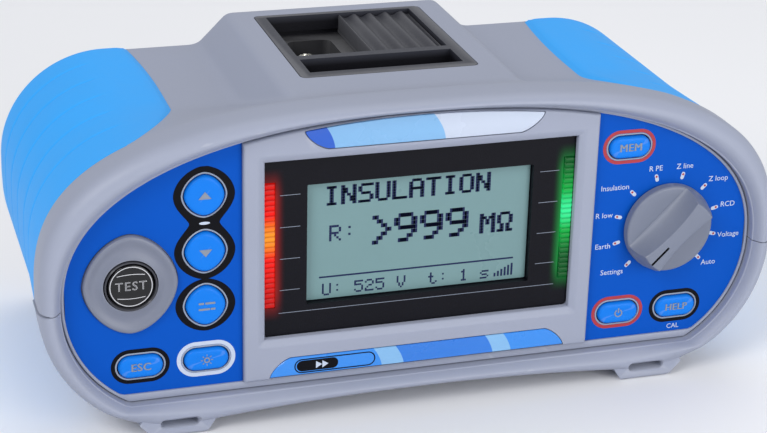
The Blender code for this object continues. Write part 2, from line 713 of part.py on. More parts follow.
def lower_case():
    case = add("lower_case", [half_shell(LOWER_ANGLES)], "case_grey")
    join(case, *[foot(sx, y) for sx in (-1, 1) for y in (FOOT_FRONT_Y, FOOT_REAR_Y)])
    join(case, *[along_z(circle(place, POST_RADIUS, 12), wall_height(*place, -1), SEAM_Z - SEAM_GAP / 2)
                 for place in POSTS])
    join(case, *[along_z(circle(place, BOARD_POST_RADIUS, 12), wall_height(*place, -1), MAIN_BOARD_Z - GAP)
                 for place in BOARD_POSTS])
    cut(case, pockets(1), pockets(-1))
    cut(case, *posts(POSTS, SCREW_RADIUS + GAP, -1.0, SEAM_Z + 2))
    cut(case, *posts(POSTS, SCREW_HEAD_RADIUS + GAP, -1.0, SCREW_WELL))
    cut(case, BATTERY_HOLE)
    cut(case, DOOR_REBATE)
    slot_x = (FOOT_IN + FOOT_OUT) / 2
    slots, channels = [], []
    for sx in (-1, 1):
        slots.append(along_y(oval((sx * slot_x, SLOT_Z), (SLOT_LENGTH, SLOT_HEIGHT)), -9.0, 7.0))
        reach = SLOT_LENGTH / 2 + STRAP_ROOM
        channels.append(block((sx * slot_x - reach, 4.0, -1.0),
                              (sx * slot_x + reach, 10.0, SLOT_Z + SLOT_HEIGHT / 2)))
    cut(case, *slots)
    cut(case, *channels)


def side_covers():
    for side, name in ((-1, "left_side_cover"), (1, "right_side_cover")):
        add(name, [cover_patch(side, 0.0, COVER_THICK, 0.0)], "cover_blue")


def case_screws():
    for k, (x, y) in enumerate(POSTS, 1):
        head = circle((x, y), SCREW_HEAD_RADIUS, 12)
        shank = circle((x, y), SCREW_RADIUS, 12)
        seat = SCREW_WELL - GAP
        loops = [lying(head, seat - SCREW_HEAD_HEIGHT), lying(head, seat), lying(shank, seat),
                 lying(shank, seat + CASE_SCREW_LENGTH)]
        add(f"case_screw_{k}", [loft(loops)], "steel")


# ---------------------------------------------------------------- front panel

def curve_heights(half):
    """Lower and upper height of a panel outline as functions of distance from the middle."""
    widest = int(np.argmax(half[:, 0]))
    low, high = half[:widest + 1], half[widest:][::-1]
    return (lambda x: np.interp(x, low[:, 0], low[:, 1]),
            lambda x: np.interp(x, high[:, 0], high[:, 1]))


def band(half, inner, outer, count=14):
    """Part of a panel outline between two distances right of the middle, as a closed loop."""
    low, high = curve_heights(half)
    share = np.sin(np.linspace(0, np.pi / 2, count))
    x = inner + (outer - inner) * share
    lower = np.column_stack([x, low(x)])
    upper = np.column_stack([x, high(x)])[::-1]
    return np.concatenate([lower, upper[1:] if abs(upper[0, 1] - lower[-1, 1]) < 1e-6 else upper])


FOIL_SHAPE = panel_half(0.0, FOIL_BOTTOM)
LEFT_KEYS = {
    "up_key": (-(FRAME_HALF + NEAR_COLUMN), KEY_ROWS["up"], "diamond"),
    "down_key": (-(FRAME_HALF + NEAR_COLUMN), KEY_ROWS["down"], "diamond"),
    "tab_key": (-(FRAME_HALF + NEAR_COLUMN), KEY_ROWS["tab"], "diamond"),
    "backlight_key": (-(FRAME_HALF + NEAR_COLUMN), KEY_ROWS["low"], "oval"),
    "escape_key": (-(FRAME_HALF + FAR_COLUMN), KEY_ROWS["low"], "oval"),
}
RIGHT_KEYS = {
    "memory_key": (FRAME_HALF + NEAR_COLUMN - 0.4, KEY_ROWS["memory"], "oval"),
    "power_key": (FRAME_HALF + NEAR_COLUMN - 0.4, KEY_ROWS["low"], "oval"),
    "help_key": (FRAME_HALF + FAR_COLUMN - 0.4, KEY_ROWS["low"], "oval"),
}
TEST_X = -(FRAME_HALF + TEST_COLUMN)
KNOB_X = FRAME_HALF + KNOB_COLUMN


def key_outline(x, z, kind, grow=0.0):
    if kind == "diamond":
        return diamond((x, z), DIAMOND_KEY, grow, 16)
    return oval((x, z), OVAL_KEY, grow)


def key_holes(keys, y0, y1):
    return [along_y(key_outline(x, z, kind, KEY_GAP), y0, y1) for x, z, kind in keys.values()]


def badge_outline(low, high, half_low, half_high, arch, grow=0.0):
    """Long badge with slanted ends; its top edge may follow the arch of the frame."""
    x = np.linspace(-half_high - grow, half_high + grow, 9)
    top = np.column_stack([x, high + grow - arch * (x / half_high) ** 2])
    bottom = np.array([(half_low + grow, low - grow), (0, low - grow), (-half_low - grow, low - grow)])
    return np.concatenate([top, bottom])


TOP_BADGE = (87.1, 95.0, 30.5, 36.8, 2.6)
BOTTOM_BADGE = (14.3, 20.5, 47.0, 42.0, 0.0)


def front_panel():
    angle = np.concatenate([UPPER_ANGLES[:-1], LOWER_ANGLES[:-1]])
    flange = cavity_at(angle, PANEL_REAR) - GAP
    rear_step = FOIL_THICK + GAP
    loops = [polar_loop(flange, angle, PANEL_REAR), polar_loop(flange, angle, rear_step),
             polar_loop(rim_radius(angle), angle, rear_step),
             polar_loop(rim_radius(angle), angle, -RIM_PROUD)]
    panel = add("front_panel", [loft(loops)], "case_grey")
    frame = band(FOIL_SHAPE, 0.0, FRAME_HALF, 10)
    frame = np.concatenate([frame, mirrored(frame)[1:-1]])
    order = np.argsort(np.arctan2(frame[:, 1] - SEAM_Z, frame[:, 0]))
    frame = frame[order]
    shrink = 1 - 0.7 / FRAME_HALF
    inner = (frame - np.array([0, SEAM_Z])) * shrink + np.array([0, SEAM_Z])
    join(panel, loft([facing(frame, FOIL_THICK), facing(frame, 0.5 - FRAME_PROUD),
                      facing(inner, -FRAME_PROUD)]))
    pocket = band(FOIL_SHAPE, FRAME_HALF + 0.003, FOIL_HALF - 0.001)
    floor = FOIL_THICK + GAP
    cut(panel, along_y(pocket, -5, floor), along_y(mirrored(pocket), -5, floor))
    window = ((WINDOW_LOW + WINDOW_HIGH) / 2, WINDOW_HIGH - WINDOW_LOW)
    through = (-6.0, PANEL_REAR + 2)
    cut(panel, along_y(rounded((0, window[0]), (2 * WINDOW_HALF, window[1]), 1.0), *through),
        *key_holes(LEFT_KEYS | RIGHT_KEYS, *through),
        along_y(circle((TEST_X, TEST_Z), TEST_BEZEL_RADIUS + GAP), *through),
        along_y(circle((KNOB_X, KNOB_Z), SHAFT_RADIUS + 2 * GAP), *through))
    depth = -FRAME_PROUD + 0.9
    cut(panel, along_y(badge_outline(*TOP_BADGE, grow=GAP), -5, depth),
        along_y(badge_outline(*BOTTOM_BADGE, grow=GAP), -5, depth))
    mounts = [(sx * (FRAME_HALF + 1.1), z) for sx in (-1, 1) for z in FRONT_POST_HEIGHTS]
    join(panel, *[along_y(circle(p, 1.8, 10), PANEL_REAR - 1, FRONT_BOARD_Y - GAP) for p in mounts])


def foils():
    shape = band(panel_half(-GAP, FOIL_BOTTOM + GAP), FRAME_HALF + GAP, FOIL_HALF - GAP)
    left = add("left_keypad_foil", [along_y(mirrored(shape), 0.0, FOIL_THICK)], "foil_blue")
    cut(left, *key_holes(LEFT_KEYS, -2, 3), along_y(diamond((TEST_X, TEST_Z), SURROUND_SIZE, GAP), -2, 3))
    right = add("right_keypad_foil", [along_y(shape, 0.0, FOIL_THICK)], "foil_blue")
    cut(right, *key_holes(RIGHT_KEYS, -2, 3),
        along_y(circle((KNOB_X, KNOB_Z), SHAFT_RADIUS + 2 * GAP), -2, 3))


def badges():
    face = -FRAME_PROUD - 0.1
    for name, shape in (("top_badge", TOP_BADGE), ("bottom_badge", BOTTOM_BADGE)):
        add(name, [along_y(badge_outline(*shape), face, face + 0.7)], "badge")


# ---------------------------------------------------------------- display

def display():
    mid_z = (WINDOW_LOW + WINDOW_HIGH) / 2
    high = WINDOW_HIGH - WINDOW_LOW
    face = rounded((0, mid_z), (2 * (WINDOW_HALF - GAP), high - 2 * GAP), 0.8)
    flange = rounded((0, mid_z), (2 * (WINDOW_HALF + MASK_FLANGE), high + 2 * MASK_FLANGE), 0.8)
    rear = PANEL_REAR + GAP
    mask = add("display_mask", [loft([facing(face, MASK_FACE), facing(face, rear),
                                      facing(flange, rear), facing(flange, rear + 1.0)])], "black_plastic")
    lcd_mid, lcd_high = (LCD_LOW + LCD_HIGH) / 2, LCD_HIGH - LCD_LOW
    opening = rounded((0, lcd_mid), (2 * LCD_HALF, lcd_high), 0.3)
    bar_x = WINDOW_HALF - GAP - BAR_WIDTH / 2
    bar_mid, bar_high = (BAR_LOW + BAR_HIGH) / 2, BAR_HIGH - BAR_LOW
    slots = [along_y(rounded((sx * (bar_x + 1), bar_mid), (BAR_WIDTH + 2 * GAP + 2, bar_high + 2 * GAP), 0.2),
                     -2, rear + 3) for sx in (-1, 1)]
    cut(mask, along_y(opening, -2, rear + 3), *slots)
    glass = rounded((0, lcd_mid), (2 * (LCD_HALF - GAP), lcd_high - 2 * GAP), 0.3)
    body = rounded((0, lcd_mid), (2 * (LCD_HALF + LCD_BORDER), lcd_high + 2 * LCD_BORDER), 0.3)
    step = rear + 1.0 + GAP
    add("lcd_module", [loft([facing(glass, LCD_FACE), facing(glass, step), facing(body, step),
                             facing(body, LCD_FACE + LCD_THICK)])], "lcd")
    light = LCD_FACE + LCD_THICK + GAP
    add("lcd_backlight", [along_y(body, light, light + BACKLIGHT_THICK)], "white_plastic")
    for side, name in ((-1, "red_light_bar"), (1, "green_light_bar")):
        shape = rounded((side * bar_x, bar_mid), (BAR_WIDTH, bar_high), 0.3, 2)
        add(name, [along_y(shape, BAR_FACE, FRONT_BOARD_Y - 3 * GAP)], name[:-10] + "_bar")


# ---------------------------------------------------------------- keys and selector

def key(name, x, z, kind):
    """Key cap through the foil, a flange behind the panel and a stem to the board's switch."""
    cap = [(-KEY_PROUD, -0.9), (-KEY_PROUD + 0.3, -0.3), (-KEY_PROUD + 0.8, 0.0)]
    flange_y = PANEL_REAR + GAP
    loops = [facing(key_outline(x, z, kind, grow), y) for y, grow in cap]
    loops += [facing(key_outline(x, z, kind, 0.0), flange_y),
              facing(key_outline(x, z, kind, KEY_FLANGE), flange_y),
              facing(key_outline(x, z, kind, KEY_FLANGE), flange_y + 1.0),
              facing(key_outline(x, z, kind, -1.6), flange_y + 1.0),
              facing(key_outline(x, z, kind, -1.6), FRONT_BOARD_Y - KEY_TRAVEL - GAP)]
    add(name, [loft(loops)], "key_blue", (x, -KEY_PROUD, z))


def test_key():
    centre = (TEST_X, TEST_Z)
    panel_front = FOIL_THICK + GAP
    outer = diamond(centre, SURROUND_SIZE)
    loops = [facing(diamond(centre, SURROUND_SIZE, -0.7), -SURROUND_PROUD),
             facing(outer, 0.5 - SURROUND_PROUD), facing(outer, panel_front - GAP)]
    surround = add("test_key_surround", [loft(loops)], "case_grey")
    cut(surround, along_y(circle(centre, TEST_BEZEL_RADIUS + GAP), -4, 3))
    rear = PANEL_REAR + GAP
    tube = [(TEST_BEZEL_RADIUS - 0.3, -TEST_PROUD - 0.3), (TEST_BEZEL_RADIUS, -TEST_PROUD),
            (TEST_BEZEL_RADIUS, rear), (TEST_BEZEL_RADIUS + 1.6, rear),
            (TEST_BEZEL_RADIUS + 1.6, rear + 1.0)]
    bezel = add("test_key_bezel", [turned_y(centre, tube)], "black_plastic")
    cut(bezel, along_y(circle(centre, TEST_RADIUS + GAP), -6, rear + 3))
    catch = rear + 1.0 + GAP
    button = [(TEST_RADIUS - 0.8, -TEST_PROUD), (TEST_RADIUS, -TEST_PROUD + 0.5), (TEST_RADIUS, catch),
              (TEST_RADIUS + 1.1, catch), (TEST_RADIUS + 1.1, catch + 0.9), (2.5, catch + 0.9),
              (2.5, FRONT_BOARD_Y - TEST_TRAVEL - GAP)]
    add("test_key", [turned_y(centre, button)], "gloss_black", (TEST_X, -TEST_PROUD, TEST_Z))


def grip_outline(share, shrink=0.0):
    """Bar along the pointer direction, seen from the front, at a share of its height: straight at its foot
    and waisted at its face, with ends on a circle that lies inside the disc's rim."""
    along = np.linspace(-1, 1, 7)
    face = KNOB_WAIST + KNOB_FLARE * along ** 2
    half = KNOB_GRIP_FOOT + (face - KNOB_GRIP_FOOT) * share ** 0.8 - shrink
    radius = KNOB_RADIUS - KNOB_GRIP_INSET - KNOB_GRIP_LEAN * share - shrink
    reach = math.sqrt(radius ** 2 - half[-1] ** 2)
    side = np.column_stack([along * reach, half])
    middle = np.array([(radius, 0.0)])
    bar = np.concatenate([side, middle, side[::-1] * np.array([1, -1]), -middle])
    turn = math.radians(KNOB_REST_DEG)
    c, s = math.cos(turn), math.sin(turn)
    return bar @ np.array([[c, s], [-s, c]]) + np.array([KNOB_X, KNOB_Z])


def selector():
    centre = (KNOB_X, KNOB_Z)
    pivot = (KNOB_X, 0.0, KNOB_Z)
    disc = turned_y(centre, [(KNOB_RADIUS, -GAP), (KNOB_RADIUS, 0.8 - KNOB_DISC),
                             (KNOB_RADIUS - 0.9, -KNOB_DISC)], 32)
    knob = add("selector_knob", [disc], "knob_grey", pivot)
    grip = [facing(grip_outline(0.0), -KNOB_DISC + 1.0)]
    grip += [facing(grip_outline(share), -KNOB_DISC - share * (KNOB_HEIGHT - KNOB_DISC))
             for share in (0.0, 0.3, 0.6, 0.93)]
    grip.append(facing(grip_outline(1.0, 0.35), -KNOB_HEIGHT))
    join(knob, loft(grip))
    seat = -KNOB_DISC - SHAFT_REACH
    cut(knob, along_y(circle(centre, SHAFT_RADIUS + GAP), 1.0, seat))
    add("selector_shaft", [along_y(circle(centre, SHAFT_RADIUS), seat + GAP, FRONT_BOARD_Y - 2 * GAP)],
        "steel", pivot)
    switch = add("rotary_switch", [along_y(rounded(centre, (SWITCH_SIZE, SWITCH_SIZE), 2.5),
                                           PANEL_REAR + 1.0, FRONT_BOARD_Y - GAP)], "black_plastic")
    cut(switch, along_y(circle(centre, SHAFT_RADIUS + GAP), 0, FRONT_BOARD_Y + 2))


# ---------------------------------------------------------------- boards and what stands on them

def boards():
    mid = (FRONT_BOARD_LOW + FRONT_BOARD_HIGH) / 2
    shape = rounded((0, mid), (2 * FRONT_BOARD_HALF, FRONT_BOARD_HIGH - FRONT_BOARD_LOW), 22.0, 5)
    add("front_board", [along_y(shape, FRONT_BOARD_Y, FRONT_BOARD_Y + BOARD_THICK)], "board_green")
    rear = MAIN_BOARD_FRONT + MAIN_BOARD_DEPTH
    add("main_board", [block((-MAIN_BOARD_HALF, MAIN_BOARD_FRONT, MAIN_BOARD_Z),
                             (MAIN_BOARD_HALF, rear, MAIN_BOARD_Z + BOARD_THICK))], "board_green")
    top = MAIN_BOARD_Z + BOARD_THICK + GAP
    core = rounded(TRANSFORMER_PLACE, TRANSFORMER_SIZE, 1.0, 2)
    core_top = rounded(TRANSFORMER_PLACE, (TRANSFORMER_SIZE[0] - 2, TRANSFORMER_SIZE[1] - 2), 1.0, 2)
    high = top + TRANSFORMER_HEIGHT
    add("converter_transformer", [loft([lying(core, top), lying(core, high - 1), lying(core_top, high)])],
        "black_plastic")
    add("buzzer", [along_z(circle(BUZZER_PLACE, BUZZER_RADIUS), top, top + BUZZER_HEIGHT)], "black_plastic")


def connector_panel():
    mid_y = PANEL_FRONT + PANEL_LENGTH / 2
    bottom = HUMP_TOP - PANEL_DEPTH
    tub = rounded((0, mid_y), (2 * (PANEL_HALF - PANEL_LIP), PANEL_LENGTH - 2 * PANEL_LIP), 1.2)
    flange = rounded((0, mid_y), (2 * PANEL_HALF, PANEL_LENGTH), 1.9)
    step = HUMP_TOP - PANEL_FLANGE
    panel = add("connector_panel", [loft([lying(tub, bottom), lying(tub, step), lying(flange, step),
                                          lying(flange, HUMP_TOP)])], "black_plastic")
    floor = HUMP_TOP - RECESS_DEPTH
    recess_rear = RECESS_FRONT + RECESS_LENGTH
    cut(panel, block((-RECESS_HALF, RECESS_FRONT, floor), (RECESS_HALF, recess_rear, HUMP_TOP + 2)),
        block((-RECESS_HALF, TROUGH_FRONT, HUMP_TOP - TROUGH_DEPTH),
              (RECESS_HALF, TROUGH_FRONT + TROUGH_LENGTH, HUMP_TOP + 2)))
    cut(panel, block((-RECESS_HALF, RECESS_FRONT - TRACK_DEPTH, floor + 0.01),
                     (RECESS_HALF, recess_rear + TRACK_DEPTH, floor + SLIDER_BASE + 2 * GAP)))
    well = rounded((WELL_X, WELL_Y), WELL_SIZE, 2.5)
    usb = (USB_SIZE[0] + 2 * GAP, USB_SIZE[1] + 2 * GAP)
    cut(panel, along_z(well, bottom - 2, floor + 1),
        along_z(circle((SOCKET_X, CHARGER_Y), CHARGER_RADIUS + GAP), bottom - 2, floor + 1),
        along_z(rounded((SOCKET_X, USB_Y), usb, 0.5), bottom - 2, floor + 1),
        along_z(circle((SOCKET_X, SERIAL_Y), SERIAL_RADIUS + GAP), bottom - 2, floor + 1))
    legs = [(sx * (PANEL_HALF - PANEL_LEG_INSET), mid_y + sy * (PANEL_LENGTH / 2 - PANEL_LEG_INSET))
            for sx in (-1, 1) for sy in (-1, 1)]
    join(panel, *posts(legs, 2.2, CONNECTOR_BOARD_Z + BOARD_THICK + GAP, bottom + 1))
    board_high = CONNECTOR_BOARD_Z + BOARD_THICK
    add("connector_board", [block((-PANEL_HALF + 1, PANEL_FRONT + 1, CONNECTOR_BOARD_Z),
                                  (PANEL_HALF - 1, PANEL_FRONT + PANEL_LENGTH - 1, board_high))],
        "board_green")


def sliding_cover():
    """Ribbed shutter on a base plate whose two long edges run in the panel's tracks."""
    floor = HUMP_TOP - RECESS_DEPTH + GAP
    right = RECESS_HALF - GAP
    left = right - SLIDER_WIDTH
    front, rear = RECESS_FRONT + GAP, RECESS_FRONT + RECESS_LENGTH - GAP
    base_top, crest = floor + SLIDER_BASE, floor + SLIDER_THICK
    valley = crest - SLIDER_GROOVE
    pitch = SLIDER_WIDTH / (SLIDER_RIBS - 0.5)
    profile = [(left, base_top), (left, crest)]
    for k in range(SLIDER_RIBS - 1):
        start = left + k * pitch
        profile += [(start + 0.20 * pitch, crest), (start + 0.55 * pitch, valley),
                    (start + 0.70 * pitch, valley), (start + pitch, crest)]
    profile += [(left + (SLIDER_RIBS - 0.8) * pitch, crest), (right, valley), (right, base_top)]
    points = np.array(profile[::-1])
    track = TRACK_DEPTH - GAP
    ribs = loft([facing(points, front), facing(points, rear)])
    cover = add("sliding_cover", [ribs], "black_plastic", (0.0, RECESS_FRONT + RECESS_LENGTH / 2, floor))
    join(cover, block((left, front - track, floor), (right, rear + track, base_top + 0.2)))


def sockets():
    base = CONNECTOR_BOARD_Z + BOARD_THICK + GAP
    top = HUMP_TOP - RECESS_DEPTH - SOCKET_SINK
    test_top = HUMP_TOP - RECESS_DEPTH - TEST_SOCKET_SINK
    test = rounded((WELL_X, WELL_Y), (WELL_SIZE[0] - 2 * GAP, WELL_SIZE[1] - 2 * GAP), 2.2)
    add("test_socket", [along_z(test, base, test_top)], "black_plastic")
    pin = (WELL_X - WELL_SIZE[0] / 2 + CONTACT_SIDE, WELL_Y - WELL_SIZE[1] / 2 + CONTACT_FRONT)
    add("test_contact", [along_z(circle(pin, CONTACT_RADIUS, 16), test_top + GAP,
                                 HUMP_TOP - RECESS_DEPTH - CONTACT_SINK)], "nickel")
    jack = circle((SOCKET_X, CHARGER_Y), CHARGER_RADIUS)
    charger = add("charger_socket", [along_z(jack, base, top)], "black_plastic")
    cut(charger, along_z(circle((SOCKET_X, CHARGER_Y), CHARGER_BORE, 16), top - 9, top + 2))
    usb = add("usb_socket", [along_z(rounded((SOCKET_X, USB_Y), USB_SIZE, 0.4, 2), base, top)], "steel")
    cut(usb, along_z(rounded((SOCKET_X, USB_Y), USB_BORE, 1.0, 2), top - 10, top + 2))
    shell = circle((SOCKET_X, SERIAL_Y), SERIAL_RADIUS)
    serial = add("serial_socket", [along_z(shell, base, top)], "black_plastic")
    cut(serial, along_z(circle((SOCKET_X, SERIAL_Y), SERIAL_BORE, 20), top - 9, top + 2))


# ---------------------------------------------------------------- battery and fuse compartment

def compartment():
    tub = add("battery_tub", [block((-OPENING_HALF - TUB_WALL, TUB_FRONT, OPENING_LOW - TUB_WALL),
                                    (OPENING_HALF + TUB_WALL, TUB_REAR, OPENING_HIGH + TUB_WALL))],
              "black_plastic")
    cut(tub, block((-OPENING_HALF, TUB_FRONT + TUB_WALL, OPENING_LOW),
                   (OPENING_HALF, TUB_REAR + 2, OPENING_HIGH)))
    outer = COLUMN_FAR + HOLDER_WALL
    holder = add("battery_holder", [block((-outer, HOLDER_FRONT, HOLDER_LOW),
                                          (outer, HOLDER_FRONT + HOLDER_DEPTH, HOLDER_HIGH))],
                 "black_plastic")
    back = HOLDER_FRONT + HOLDER_WALL - GAP
    cut(holder, block((-COLUMN_FAR, back, CELLS_LOW), (-COLUMN_NEAR, TUB_REAR, CELLS_HIGH)),
        block((COLUMN_NEAR, back, CELLS_LOW), (COLUMN_FAR, TUB_REAR, CELLS_HIGH)))
    for k in range(6):
        side, row = (-1, 1)[k % 2], k // 2
        centre = (CELL_Y, CELLS_LOW + GAP + CELL_RADIUS + row * CELL_PITCH)
        near = side * (COLUMN_NEAR + GAP)
        rings = [(near, CELL_RADIUS), (near + side * (CELL_LENGTH - 1.2), CELL_RADIUS),
                 (near + side * (CELL_LENGTH - 1.2), 2.6), (near + side * CELL_LENGTH, 2.6)]
        loops = [np.column_stack([np.full(16, x), circle(centre, r, 16)]) for x, r in rings]
        add(f"battery_cell_{k + 1}", [loft(loops)], "cell_sleeve")
    reach = FUSE_PITCH + FUSE_LENGTH / 2 + FUSE_SPACE / 2
    rest = add("fuse_holder", [block((-reach, HOLDER_FRONT, FUSE_Z - FUSE_BLOCK / 2),
                                     (reach, FUSE_Y - 1.0, FUSE_Z + FUSE_BLOCK / 2))], "white_plastic")
    seats, half = [], FUSE_LENGTH / 2
    for k in range(3):
        x = (k - 1) * FUSE_PITCH
        seats.append(rod_x((FUSE_Y, FUSE_Z), FUSE_RADIUS + GAP, x - half - GAP, x + half + GAP))
        add(f"fuse_{k + 1}", [rod_x((FUSE_Y, FUSE_Z), FUSE_RADIUS, x - half, x + half)], "fuse_ceramic")
    cut(rest, *seats)


def battery_door():
    inner = BODY_REAR - DOOR_THICK
    mid_z = (DOOR_LOW + DOOR_HIGH) / 2
    size = (2 * DOOR_HALF, DOOR_HIGH - DOOR_LOW)
    shape = rounded((0, mid_z), size, 1.5, 3)
    door = add("battery_cover", [loft([facing(shape, inner), facing(shape, BODY_REAR)])], "case_grey")
    label_mid = (0, mid_z - LABEL_DROP)
    label_pocket = (LABEL_SIZE[0] + 2 * GAP, LABEL_SIZE[1] + 2 * GAP)
    cut(door, along_y(rounded(label_mid, label_pocket, 2.0, 3), BODY_REAR - 0.8, BODY_REAR + 2),
        *[along_y(circle((sx * DOOR_SCREW_X, DOOR_SCREW_Z), SCREW_HEAD_RADIUS + GAP, 16),
                  BODY_REAR - SCREW_HEAD_HEIGHT - GAP, BODY_REAR + 2) for sx in (-1, 1)])
    cut(door, *[along_y(circle((sx * DOOR_SCREW_X, DOOR_SCREW_Z), SCREW_RADIUS + GAP, 12),
                        inner - 2, BODY_REAR) for sx in (-1, 1)])
    label = rounded(label_mid, LABEL_SIZE, 1.7, 3)
    add("rear_label", [along_y(label, BODY_REAR - 0.5, BODY_REAR - 0.1)], "label")
    for k, side in enumerate((-1, 1), 1):
        at = (side * DOOR_SCREW_X, DOOR_SCREW_Z)
        head_low = BODY_REAR - SCREW_HEAD_HEIGHT
        profile = [(SCREW_RADIUS, head_low - 8.0), (SCREW_RADIUS, head_low), (SCREW_HEAD_RADIUS, head_low),
                   (SCREW_HEAD_RADIUS, BODY_REAR - 0.1)]
        add(f"battery_cover_screw_{k}", [turned_y(at, profile, 12)], "steel")


clear_scene()
upper_case()
lower_case()
side_covers()
case_screws()
front_panel()
foils()
badges()
display()
for key_name, (key_x, key_z, key_kind) in (LEFT_KEYS | RIGHT_KEYS).items():
    key(key_name, key_x, key_z, key_kind)
test_key()
selector()
boards()
connector_panel()
sliding_cover()
sockets()
compartment()
battery_door()
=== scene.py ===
"""Looks of the insulation resistance tester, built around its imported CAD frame.

Lengths are millimetres in the row frame until they enter a mesh. Depth y is counted from the face of the
keypad foils (negative is towards the user), and row_points() moves it into the row frame.
"""
import json
import math

import bmesh
import bpy
import numpy as np
from mathutils import Matrix, Vector


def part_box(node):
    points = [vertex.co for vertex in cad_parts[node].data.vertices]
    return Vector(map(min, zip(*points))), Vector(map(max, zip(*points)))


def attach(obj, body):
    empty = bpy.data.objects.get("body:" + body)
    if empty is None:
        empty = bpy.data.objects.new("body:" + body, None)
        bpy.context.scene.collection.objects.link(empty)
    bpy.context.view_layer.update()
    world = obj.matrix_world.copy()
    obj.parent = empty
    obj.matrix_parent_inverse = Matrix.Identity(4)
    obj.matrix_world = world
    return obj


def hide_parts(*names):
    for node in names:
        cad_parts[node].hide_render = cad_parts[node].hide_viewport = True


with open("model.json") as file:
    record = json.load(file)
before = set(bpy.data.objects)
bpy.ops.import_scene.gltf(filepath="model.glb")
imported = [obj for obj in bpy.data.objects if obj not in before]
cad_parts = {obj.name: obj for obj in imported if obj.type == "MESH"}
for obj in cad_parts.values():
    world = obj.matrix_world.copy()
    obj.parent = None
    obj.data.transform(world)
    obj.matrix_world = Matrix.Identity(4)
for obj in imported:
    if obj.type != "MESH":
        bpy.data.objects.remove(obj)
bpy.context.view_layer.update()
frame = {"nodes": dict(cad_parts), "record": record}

MM = 0.001
GAP = 0.3


def corners(node):
    """Lowest and highest corner of a CAD node, in millimetres of the row frame."""
    low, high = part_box(node)
    return np.array(low) / MM, np.array(high) / MM


def middle(node_name):
    low, high = corners(node_name)
    return (low + high) / 2


def face_middle(low, high):
    """Middle of a box seen along y, as (x, z)."""
    return np.array([(low[0] + high[0]) / 2, (low[2] + high[2]) / 2])


# ---------------------------------------------------------------- sizes read from the frame

FACE_Y = corners("left_keypad_foil")[0][1]              # face of the foils, in the row frame
UPPER, LOWER = corners("upper_case"), corners("lower_case")
SEAM_Z = (UPPER[0][2] + LOWER[1][2]) / 2
SEAM_GAP = UPPER[0][2] - LOWER[1][2]
RING_HALF = UPPER[1][0]
RING_TOP = UPPER[1][2]
RING_FRONT = FACE_Y - UPPER[0][1]
BODY_REAR = UPPER[1][1] - FACE_Y
PANEL_TOP = corners("connector_panel")[1][2]            # the raised block's flat top
FOIL = corners("right_keypad_foil")
FRAME_HALF = FOIL[0][0] - GAP
FOIL_HALF = FOIL[1][0] + GAP
FOIL_LOW = FOIL[0][2] - GAP

# Form of the case, as the CAD has it
RING_EXPONENT = 2.85
CORNER_X, CASE_BOTTOM, BOTTOM_ARCH = 74.8, 2.5, 3.9
SLOPE_START, SLOPE_END = 8.0, 43.0
BODY_HALF, BODY_TOP, BODY_CORNER = 111.0, 86.2, 32.5
COVER_SIDE, COVER_PROUD, COVER_THICK, COVER_STEP = 2.3, 1.2, 2.0, 0.4
COVER_LOW = math.radians(-18.0)
COVER_REAR = corners("left_side_cover")[1][1] - FACE_Y
HUMP_HALF_TOP, HUMP_HALF_FOOT, HUMP_FOOT_Z = 36.4, 45.6, 87.2
HUMP_EDGE, HUMP_ROOT = 1.6, 2.4      # reach of the rounds along its top edges and its foot
FOIL_TOP, FOIL_EXPONENT, FOIL_CORNER_X = 95.4, 2.35, 71.0
RIM, RIM_BOTTOM, RIM_PROUD = 0.9, 2.3, 0.6
FRAME_PROUD = 2.0
REAR_ROUND = 1.8
SURROUND_HOLE, SHAFT_HOLE, KEY_PLAY = 8.1, 3.6, 0.35    # radii of two openings, gap round a key
MEAN_RADIUS = 80.0                   # turns lengths across a cover's edge into angles


# ---------------------------------------------------------------- meshes from arrays

def row_points(points):
    """Design points (x, depth from the foils, z) in millimetres to row frame metres."""
    points = np.asarray(points, float)
    return (points + np.array([0.0, FACE_Y, 0.0])) * MM


def grid_patch(points, wrap=False):
    """Quads over a (rows, columns, 3) grid; wrap joins the last column to the first."""
    rows, columns = points.shape[:2]
    index = np.arange(rows * columns).reshape(rows, columns)
    if wrap:
        index = np.concatenate([index, index[:, :1]], axis=1)
    a, b = index[:-1, :-1], index[:-1, 1:]
    c, d = index[1:, 1:], index[1:, :-1]
    return points.reshape(-1, 3), np.stack([a, b, c, d], axis=-1).reshape(-1, 4).tolist()


def capped(points):
    """A closed tube from a (rows, columns, 3) grid, with a face over each end."""
    flat, faces = grid_patch(points, wrap=True)
    columns = points.shape[1]
    last = len(flat) - columns
    return flat, faces + [list(range(columns)), list(range(last, last + columns))]


def ring_patch(points):
    """A closed ring from a (rows, columns, 3) grid: its last row joins its first one."""
    flat, faces = grid_patch(points, wrap=True)
    columns = points.shape[1]
    last = len(flat) - columns
    return flat, faces + [[k, (k + 1) % columns, last + (k + 1) % columns, last + k] for k in range(columns)]


def make_mesh(name, patches, sharp_deg=38.0):
    """One mesh from several patches: coincident points are merged and faces turned outwards."""
    mesh = bpy.data.meshes.new(name)
    points, faces = [], []
    for patch_points, patch_faces in patches:
        start = sum(len(p) for p in points)
        points.append(patch_points)
        faces += [[i + start for i in face] for face in patch_faces]
    mesh.from_pydata(row_points(np.concatenate(points)).tolist(), [], faces)
    bm = bmesh.new()
    bm.from_mesh(mesh)
    bmesh.ops.remove_doubles(bm, verts=bm.verts, dist=2e-6)
    bmesh.ops.dissolve_degenerate(bm, dist=1e-6, edges=bm.edges)
    bmesh.ops.recalc_face_normals(bm, faces=bm.faces)
    bm.to_mesh(mesh)
    bm.free()
    mesh.shade_smooth()
    mesh.set_sharp_from_angle(angle=math.radians(sharp_deg))
    return mesh


